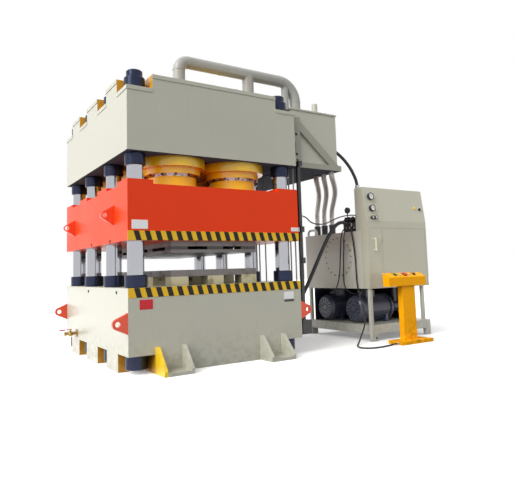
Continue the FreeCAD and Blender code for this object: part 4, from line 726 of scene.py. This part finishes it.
def weld_beads():
    """A round bead of weld on a circle; a point's size is the circle's radius."""
    tree, given = geometry_tree("weld beads", {"Bead": 0.005})
    circle = circle_curve(tree, 56, 1.0)
    rings = add(tree, "GeometryNodeRealizeInstances", {"Geometry": on_points(tree, given, circle)}).outputs[0]
    section = circle_curve(tree, 8, given["Bead"])
    bead = add(tree, "GeometryNodeCurveToMesh", {"Curve": rings, "Profile Curve": section}).outputs[0]
    place = add(tree, "GeometryNodeInputPosition").outputs[0]
    ripple = add(tree, "ShaderNodeTexNoise", {"Vector": place, "Scale": 90.0}).outputs[1]
    push = add(tree, "ShaderNodeVectorMath", {0: ripple, 1: (0.5, 0.5, 0.5)}, operation="SUBTRACT").outputs[0]
    small = add(tree, "ShaderNodeVectorMath", {0: push, "Scale": 0.004}, operation="SCALE").outputs[0]
    uneven = add(tree, "GeometryNodeSetPosition", {"Geometry": bead, "Offset": small}).outputs[0]
    smooth = add(tree, "GeometryNodeSetShadeSmooth", {"Geometry": uneven}).outputs[0]
    return end_tree(tree, given, smooth)


HEADS = hexagon_heads()
BEADS = weld_beads()


def scattered(name, body, tree, places, finish):
    """A tree's shape on every place, baked to one plain mesh; a place is (point, direction, size)."""
    mesh = bpy.data.meshes.new(name)
    mesh.from_pydata([place[0] for place in places], [], [])
    mesh.attributes.new("aim", "FLOAT_VECTOR", "POINT")
    mesh.attributes.new("size", "FLOAT", "POINT")
    for index, (point, aim, size) in enumerate(places):
        mesh.attributes["aim"].data[index].vector = aim
        mesh.attributes["size"].data[index].value = size
    holder = in_scene(name + "_points", mesh)
    modifier = holder.modifiers.new("shapes", "NODES")
    modifier.node_group = tree
    for item in tree.interface.items_tree:
        if item.name == "Finish":
            modifier[item.identifier] = finish
    graph = bpy.context.evaluated_depsgraph_get()
    plain = bpy.data.meshes.new_from_object(holder.evaluated_get(graph))
    bpy.data.objects.remove(holder)
    add_piece(name, plain, body)


def turned_about(axis, angle):
    """The direction at an angle around an axis, square to it."""
    first = axis.orthogonal().normalized()
    return math.cos(angle) * first + math.sin(angle) * axis.cross(first)


def around(centre, axis, radius, count, size):
    """Places for a ring of screws, the first one half a step on."""
    angles = [2 * math.pi * (number + 0.5) / count for number in range(count)]
    return [(Vector(centre) + radius * turned_about(axis, angle), axis, size) for angle in angles]


def along(start, end, count, axis, size):
    """Places for a straight row of screws."""
    start, end = Vector(start), Vector(end)
    return [(start.lerp(end, number / (count - 1)), axis, size) for number in range(count)]


def mesh_piece(name, body, slot, shape, *finishes):
    bmesh.ops.remove_doubles(shape, verts=shape.verts, dist=OWN_MERGE)
    bmesh.ops.recalc_face_normals(shape, faces=shape.faces)
    mesh = bpy.data.meshes.new(name)
    shape.to_mesh(mesh)
    shape.free()
    for finish in finishes:
        mesh.materials.append(finish)
    shade_smooth(mesh, OWN_CORNER)
    add_piece(name, mesh, body)


def add_turned(shape, centre, axis, profile, slot=0, steps=40):
    """A turned solid or ring; the profile's points are (radius, height along the axis)."""
    ways = [turned_about(axis, 2 * math.pi * step / steps) for step in range(steps)]
    rows = []
    for radius, height in profile:
        middle = Vector(centre) + axis * height
        if radius == 0:
            rows.append([shape.verts.new(middle)])
        else:
            rows.append([shape.verts.new(middle + radius * way) for way in ways])
    for low, high in zip(rows, rows[1:]):
        for step in range(steps):
            after = (step + 1) % steps
            corners = [low[step % len(low)], low[after % len(low)],
                       high[after % len(high)], high[step % len(high)]]
            unique = [corner for number, corner in enumerate(corners) if corner not in corners[:number]]
            shape.faces.new(unique).material_index = slot


def add_plate(shape, centre, across, up, width, height, thickness, corner=0.008):
    """A flat plate with rounded corners and a chamfered rim, its back on the surface."""
    out = across.cross(up)
    rows = []
    for lift, inset in ((0.0, 0.0), (thickness * 0.6, 0.0), (thickness, thickness * 0.5)):
        row = []
        for side, level, turn in ((1, 1, 0), (-1, 1, 1), (-1, -1, 2), (1, -1, 3)):
            middle = Vector(centre) + out * lift
            middle += across * side * (width / 2 - corner) + up * level * (height / 2 - corner)
            for step in range(5):
                angle = math.pi / 2 * (turn + step / 4)
                way = math.cos(angle) * across + math.sin(angle) * up
                row.append(shape.verts.new(middle + (corner - inset) * way))
        rows.append(row)
    for low, high in zip(rows, rows[1:]):
        for number in range(len(low)):
            after = (number + 1) % len(low)
            shape.faces.new((low[number], low[after], high[after], high[number]))
    shape.faces.new(list(reversed(rows[0])))
    shape.faces.new(rows[-1])


RIGHT_WAY, LEFT_WAY = Vector((1, 0, 0)), Vector((-1, 0, 0))
UP_WAY, OUT_WAY = Vector((0, 0, 1)), Vector((0, -1, 0))
FRONT = low_corner.y
platen_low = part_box("platen")[0]
white_plate = paint("white plate", (232, 232, 230), roughness=0.3, coat=0.3, dust=0.05)
red_plate = paint("red plate", (200, 24, 40), dirt=(70, 20, 20), roughness=0.3, coat=0.15, gloss=0.3,
                  dust=0.05)
black_plate = paint("black plate", (30, 30, 32), coat=0.2, dust=0.05)
weld_finish = paint("painted weld", (158, 158, 152), roughness=0.46, coat=0.1, runs=0.15)
screw_steel = metal("plated screw steel", (150, 150, 152), roughness=0.3, stains=0.35, edge=0.5)
dial_white = paint("dial white", (236, 237, 232), roughness=0.35, coat=0.9, dust=0.0, edge=0.0)

# ---- bare sign plates
SIGN_THICKNESS, RIVET_INSET = 0.003, 0.009
MIDDLE_WIDTH, MIDDLE_HEIGHT = 0.86, 0.76  # a raised middle's share of its plate
MIDDLE_LIFT = 0.001
RIVET = [(0, 0), (0.004, 0), (0.0036, 0.0012), (0.002, 0.002), (0, 0.0022)]


def sign_plate(name, body, slot, x, z, width, height, back, finish, raised_middle=False):
    """A bare plate held by four small rivets."""
    shape = bmesh.new()
    face = back - SIGN_THICKNESS
    add_plate(shape, (x, back, z), RIGHT_WAY, UP_WAY, width, height, SIGN_THICKNESS)
    if raised_middle:
        add_plate(shape, (x, face, z), RIGHT_WAY, UP_WAY, width * MIDDLE_WIDTH, height * MIDDLE_HEIGHT,
                  MIDDLE_LIFT)
    for side in (-1, 1):
        for level in (-1, 1):
            at = (x + side * (width / 2 - RIVET_INSET), face, z + level * (height / 2 - RIVET_INSET))
            add_turned(shape, at, OUT_WAY, RIVET, steps=14)
    mesh_piece(name, body, slot, shape, finish)


sign_plate("platen_plate_left", "slide", "gauge_face", -1.0605, 1.6965, 0.195, 0.105, platen_low.y,
           white_plate)
sign_plate("platen_plate_right", "slide", "gauge_face", 1.1385, 1.6725, 0.117, 0.053, platen_low.y,
           white_plate)
sign_plate("base_plate_left", "press", "red_plastic", -0.9925, 0.7845, 0.159, 0.111, FRONT, red_plate)
sign_plate("base_plate_right", "press", "gauge_face", 1.0055, 0.787, 0.159, 0.096, FRONT, white_plate,
           raised_middle=True)
sign_plate("base_plate_foot", "press", "knob_plastic", 1.0055, 0.7215, 0.159, 0.030, FRONT, black_plate)


# ---- screwed plugs
def add_plug(shape, centre, axis, radius):
    """A plug whose face stands out a little around the key hole."""
    add_turned(shape, centre, axis, [
        (0, 0), (radius, 0), (radius, 0.004), (radius * 0.86, 0.006), (radius * 0.5, 0.006),
        (radius * 0.5, 0.001), (0, 0.001)], steps=24)


BRACKET_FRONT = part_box("tank_bracket")[0].y
SKID_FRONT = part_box("skid_frame")[0].y
plugs = bmesh.new()
for y, z in ((-0.803, 1.540), (0.026, 1.544)):
    add_plug(plugs, (platen_low.x, y, z), LEFT_WAY, 0.022)
mesh_piece("platen_plugs", "slide", "bolt_steel", plugs, bolt_steel)
plugs = bmesh.new()
for y, z in ((-1.049, 0.921), (0.176, 0.917)):
    add_plug(plugs, (-SIDE, y, z), LEFT_WAY, 0.02)
for x, front, z, radius in ((1.297, BRACKET_FRONT, 3.045, 0.018), (1.297, BRACKET_FRONT, 2.756, 0.018),
                            (2.748, SKID_FRONT, 0.05, 0.016)):
    add_plug(plugs, (x, front, z), OUT_WAY, radius)
mesh_piece("press_plugs", "press", "bolt_steel", plugs, bolt_steel)

# ---- screws and welds of the pipework and the cylinders
ROWS, SIDES = (-0.975, 0.0, 0.975), (-0.446, 0.446)
PIPE_Y, PIPE_Z = ROWS[0], 3.948
lid_low, lid_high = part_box("prefill_tank")
TANK_TOP = lid_low.z + 0.785
CYLINDER_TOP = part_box("cylinder_1")[1].z
PIPE_DOWN_X, STUB_A_X, STUB_B_X = 1.592, -0.325, 0.757
HOUSING_ENDS = ((-0.566, -0.205), (0.326, 0.877))
HOUSING_REACH, HOUSING_TOP = 0.15, CYLINDER_TOP + 0.068
HOUSING_SCREW_INSET, HOUSING_SCREW_REACH = 0.03, 0.09
PIPE_FLANGE_TOP = TANK_TOP + 0.028
PIPE_RADIUS, FOOT_RADIUS = 0.0825, 0.085
RETURN_X, RETURN_RADIUS = 1.410, 0.057
WELD_LIFT = 0.001


def in_the_open(place, side):
    """False under a valve housing: the right one spans its whole cylinder, the left one only half."""
    beside = abs(place[0].y - PIPE_Y) > HOUSING_REACH
    return beside or (side < 0 and place[0].x < side)


crown_screws = around((PIPE_DOWN_X, PIPE_Y, PIPE_FLANGE_TOP), UP_WAY, radius=0.110, count=10, size=0.030)
for row in ROWS:
    for side in SIDES:
        ring = around((side, row, CYLINDER_TOP), UP_WAY, radius=0.274, count=16, size=0.042)
        crown_screws += [place for place in ring if row > PIPE_Y or in_the_open(place, side)]
for low_x, high_x in HOUSING_ENDS:
    for x in (low_x + HOUSING_SCREW_INSET, high_x - HOUSING_SCREW_INSET):
        for y in (PIPE_Y - HOUSING_SCREW_REACH, PIPE_Y + HOUSING_SCREW_REACH):
            crown_screws.append((Vector((x, y, HOUSING_TOP)), UP_WAY, 0.034))
scattered("crown_screws", "press", HEADS, crown_screws, screw_steel)

LID_RIM, LID_SCREW = 0.03, 0.022
END_ROW_INSET, SIDE_ROW_INSET = 0.04, 0.2
lid_screws = []
for y in (lid_low.y + LID_RIM, lid_high.y - LID_RIM):
    start, end = (lid_low.x + END_ROW_INSET, y, TANK_TOP), (lid_high.x - END_ROW_INSET, y, TANK_TOP)
    lid_screws += along(start, end, 6, UP_WAY, LID_SCREW)
for x in (lid_low.x + LID_RIM, lid_high.x - LID_RIM):
    start, end = (x, lid_low.y + SIDE_ROW_INSET, TANK_TOP), (x, lid_high.y - SIDE_ROW_INSET, TANK_TOP)
    lid_screws += along(start, end, 13, UP_WAY, LID_SCREW)
scattered("tank_lid_screws", "press", HEADS, lid_screws, screw_steel)

scattered("pipe_welds", "press", BEADS, [
    (Vector((x, PIPE_Y, z)), way, radius) for x, z, way, radius in (
        (-0.195, PIPE_Z, RIGHT_WAY, PIPE_RADIUS),
        (0.30, PIPE_Z, RIGHT_WAY, PIPE_RADIUS),
        (1.302, PIPE_Z, RIGHT_WAY, PIPE_RADIUS),
        (STUB_A_X, PIPE_Z - 0.13, UP_WAY, PIPE_RADIUS),
        (STUB_A_X, HOUSING_TOP + WELD_LIFT, UP_WAY, FOOT_RADIUS),
        (STUB_B_X, HOUSING_TOP + WELD_LIFT, UP_WAY, FOOT_RADIUS),
        (PIPE_DOWN_X, PIPE_Z - 0.29, UP_WAY, PIPE_RADIUS),
        (PIPE_DOWN_X, PIPE_FLANGE_TOP + WELD_LIFT, UP_WAY, FOOT_RADIUS),
        (RETURN_X, TANK_TOP + WELD_LIFT, UP_WAY, RETURN_RADIUS),
    )], weld_finish)

# ---- dials on the cabinet's sloping face
SLOPE_RUN, SLOPE_RISE = 0.068, 0.535
SLOPE_FOOT_Y, SLOPE_FOOT_Z = -1.313, 1.850
CABINET_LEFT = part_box("cabinet")[0].x
SLOPE = math.atan2(SLOPE_RUN, SLOPE_RISE)
SLOPE_OUT = Vector((0, -math.cos(SLOPE), math.sin(SLOPE)))
SLOPE_UP = Vector((0, math.sin(SLOPE), math.cos(SLOPE)))
CASE_DEPTH, DIAL_THICKNESS = 0.038, 0.002
DIAL_SHARE = 0.84  # the dial's radius as a share of its case's
MARKS, FIRST_MARK, MARK_STEP = 11, 225, 27  # their number, the first one's angle, the angle between two
NEEDLE_LIFT, HUB_HEIGHT = 0.001, 0.004
dials = bmesh.new()
marks = bmesh.new()
for across, z, radius, needle in ((0.140, 2.235, 0.055, 2.3), (0.140, 2.047, 0.050, 0.9),
                                  (0.120, 1.900, 0.026, 2.0), (0.190, 1.900, 0.026, 1.2)):
    foot_y = SLOPE_FOOT_Y + SLOPE_RUN * (z - SLOPE_FOOT_Z) / SLOPE_RISE
    face = Vector((CABINET_LEFT + across, foot_y, z)) + SLOPE_OUT * CASE_DEPTH
    dial = radius * DIAL_SHARE
    add_turned(dials, face, SLOPE_OUT, [(0, 0), (dial, 0), (dial, DIAL_THICKNESS), (0, DIAL_THICKNESS)])
    add_turned(dials, face, SLOPE_OUT, [
        (dial, 0), (radius, 0), (radius * 1.04, 0.003), (radius, 0.008), (radius * 0.88, 0.008),
        (dial, 0.004), (dial, 0)], slot=1)
    front = face + SLOPE_OUT * DIAL_THICKNESS
    for step in range(MARKS):
        angle = math.radians(FIRST_MARK - MARK_STEP * step)
        way = math.cos(angle) * RIGHT_WAY + math.sin(angle) * SLOPE_UP
        add_plate(marks, front + way * radius * 0.68, way.cross(SLOPE_OUT), way, radius * 0.05, radius * 0.2,
                  0.0008, corner=radius * 0.02)
    way = math.cos(needle) * RIGHT_WAY + math.sin(needle) * SLOPE_UP
    middle = front + SLOPE_OUT * NEEDLE_LIFT + way * radius * 0.24
    add_plate(marks, middle, way.cross(SLOPE_OUT), way, radius * 0.09, radius * 0.76, 0.0015,
              corner=radius * 0.03)
    add_turned(marks, front, SLOPE_OUT, [
        (0, 0), (radius * 0.14, 0), (radius * 0.12, HUB_HEIGHT), (0, HUB_HEIGHT)], steps=20)
mesh_piece("gauge_dials", "press", "gauge_face", dials, dial_white, gauge_rim)
mesh_piece("gauge_marks", "press", "knob_plastic", marks, black_plastic)

# ---- bezels and bare tags on the pedestal's head
HEAD_MIDDLE = Vector((2.940, -1.739, 1.002))
HEAD_LEAN = math.atan2(0.064, 0.122)
HEAD_OUT = Vector((0, -math.sin(HEAD_LEAN), math.cos(HEAD_LEAN)))
HEAD_UP = Vector((0, math.cos(HEAD_LEAN), math.sin(HEAD_LEAN)))
TAG_WIDTH, TAG_HEIGHT, TAG_THICKNESS, TAG_RISE = 0.07, 0.014, 0.002, 0.048
HEAD_SCREW_X, HEAD_SCREW_UP, HEAD_SCREW = 0.375, 0.045, 0.012
bezels = bmesh.new()
tags = bmesh.new()
for across, inner, tagged in ((-0.2, 0.024, True), (0.0, 0.036, True), (0.2, 0.024, True),
                              (-0.1, 0.0135, False), (0.1, 0.0135, False)):
    spot = HEAD_MIDDLE + RIGHT_WAY * across
    add_turned(bezels, spot, HEAD_OUT, [
        (inner, 0), (inner + 0.007, 0), (inner + 0.006, 0.004), (inner + 0.001, 0.005),
        (inner, 0.004), (inner, 0)], steps=36)
    if tagged:
        add_plate(tags, spot + HEAD_UP * TAG_RISE, RIGHT_WAY, HEAD_UP, TAG_WIDTH, TAG_HEIGHT, TAG_THICKNESS,
                  corner=0.003)
mesh_piece("button_bezels", "press", "knob_plastic", bezels, black_plastic)
mesh_piece("button_tags", "press", "knob_plastic", tags, black_plate)
head_screws = [(HEAD_MIDDLE + RIGHT_WAY * across + HEAD_UP * up, HEAD_OUT, HEAD_SCREW)
               for across in (-HEAD_SCREW_X, HEAD_SCREW_X) for up in (-HEAD_SCREW_UP, HEAD_SCREW_UP)]
scattered("head_screws", "press", HEADS, head_screws, screw_steel)


# ---------------- floor, room light and sun
FLOOR_REACH, FLOOR_DROP = 40.0, 0.001
FLOOR_SEEN, FLOOR_GLOW = (0.90, 0.90, 0.90, 1), 0.22
FLOOR_UNSEEN = (0.03, 0.03, 0.034, 1)
LEFT_WINDOWS, REAR_WINDOWS, FRONT_HALL, SKYLIGHT, DIM_WALLS = 1.9, 3.2, 0.60, 0.5, 0.16  # brightness
SUN_STRENGTH, SUN_COLOUR = 2.45, (1.0, 0.985, 0.96)
SUN_SPREAD = math.radians(38)
SUN_WAY = Vector((0.92, 0.22, -0.74)).normalized()


def background_rays(tree):
    """1 for the rays that meet the white background: from the eye, off metal or through glass."""
    rays = add(tree, "ShaderNodeLightPath").outputs
    mirrored = maths(tree, "MAXIMUM", rays["Is Glossy Ray"], rays["Is Transmission Ray"])
    return maths(tree, "MAXIMUM", rays["Is Camera Ray"], mirrored)


def make_floor():
    mesh = bpy.data.meshes.new("floor")
    reach = FLOOR_REACH
    corners = [(-reach, -reach, 0), (reach, -reach, 0), (reach, reach, 0), (-reach, reach, 0)]
    mesh.from_pydata(corners, [], [(0, 1, 2, 3)])
    floor = in_scene("floor", mesh)
    floor.location.z = -FLOOR_DROP
    material, tree, shader = new_material("pale floor")
    # the eye sees a pale floor, while the machine is lit as if by a dark one
    seen = background_rays(tree)
    feed(tree, shader, {
        "Base Color": blend_colours(tree, seen, FLOOR_UNSEEN, FLOOR_SEEN), "Roughness": 0.75,
        "Specular IOR Level": 0.1, "Emission Color": (1, 1, 1, 1),
        "Emission Strength": times(tree, seen, FLOOR_GLOW)})
    dress(floor, material)


def room_brightness(tree):
    """Tall windows on the left and at the rear left, a dim hall in front, hardly any light from the right."""
    way = add(tree, "ShaderNodeTexCoord").outputs["Generated"]
    towards = add(tree, "ShaderNodeSeparateXYZ", {0: way}).outputs
    left = ramp(tree, towards["X"], -0.30, -0.95)
    front = ramp(tree, towards["Y"], -0.10, -0.90)
    above = ramp(tree, towards["Z"], 0.20, 0.90)
    rear = ramp(tree, towards["Y"], 0.20, 0.60)
    rear_left = times(tree, ramp(tree, towards["X"], -0.20, -0.50), rear)
    total = DIM_WALLS
    for share, strength in ((left, LEFT_WINDOWS), (rear_left, REAR_WINDOWS),
                            (front, FRONT_HALL), (above, SKYLIGHT)):
        total = plus(tree, times(tree, share, strength), total)
    return total


def make_world():
    world = bpy.data.worlds.new("studio")
    scene.world = world
    world.use_nodes = True
    tree = world.node_tree
    tree.nodes.clear()
    seen = background_rays(tree)
    unseen = times(tree, maths(tree, "SUBTRACT", 1.0, seen), room_brightness(tree))
    strength = plus(tree, seen, unseen)
    sky = add(tree, "ShaderNodeBackground", {"Color": (1.0, 1.0, 1.0, 1), "Strength": strength})
    add(tree, "ShaderNodeOutputWorld", {"Surface": sky.outputs[0]})


def make_sun():
    data = bpy.data.lights.new("window light", "SUN")
    data.energy = SUN_STRENGTH
    data.angle = SUN_SPREAD
    data.color = SUN_COLOUR
    sun = in_scene("window light", data)
    sun.rotation_euler = SUN_WAY.to_track_quat("-Z", "Y").to_euler()


make_floor()
make_world()
make_sun()
scene.view_settings.view_transform = "Standard"
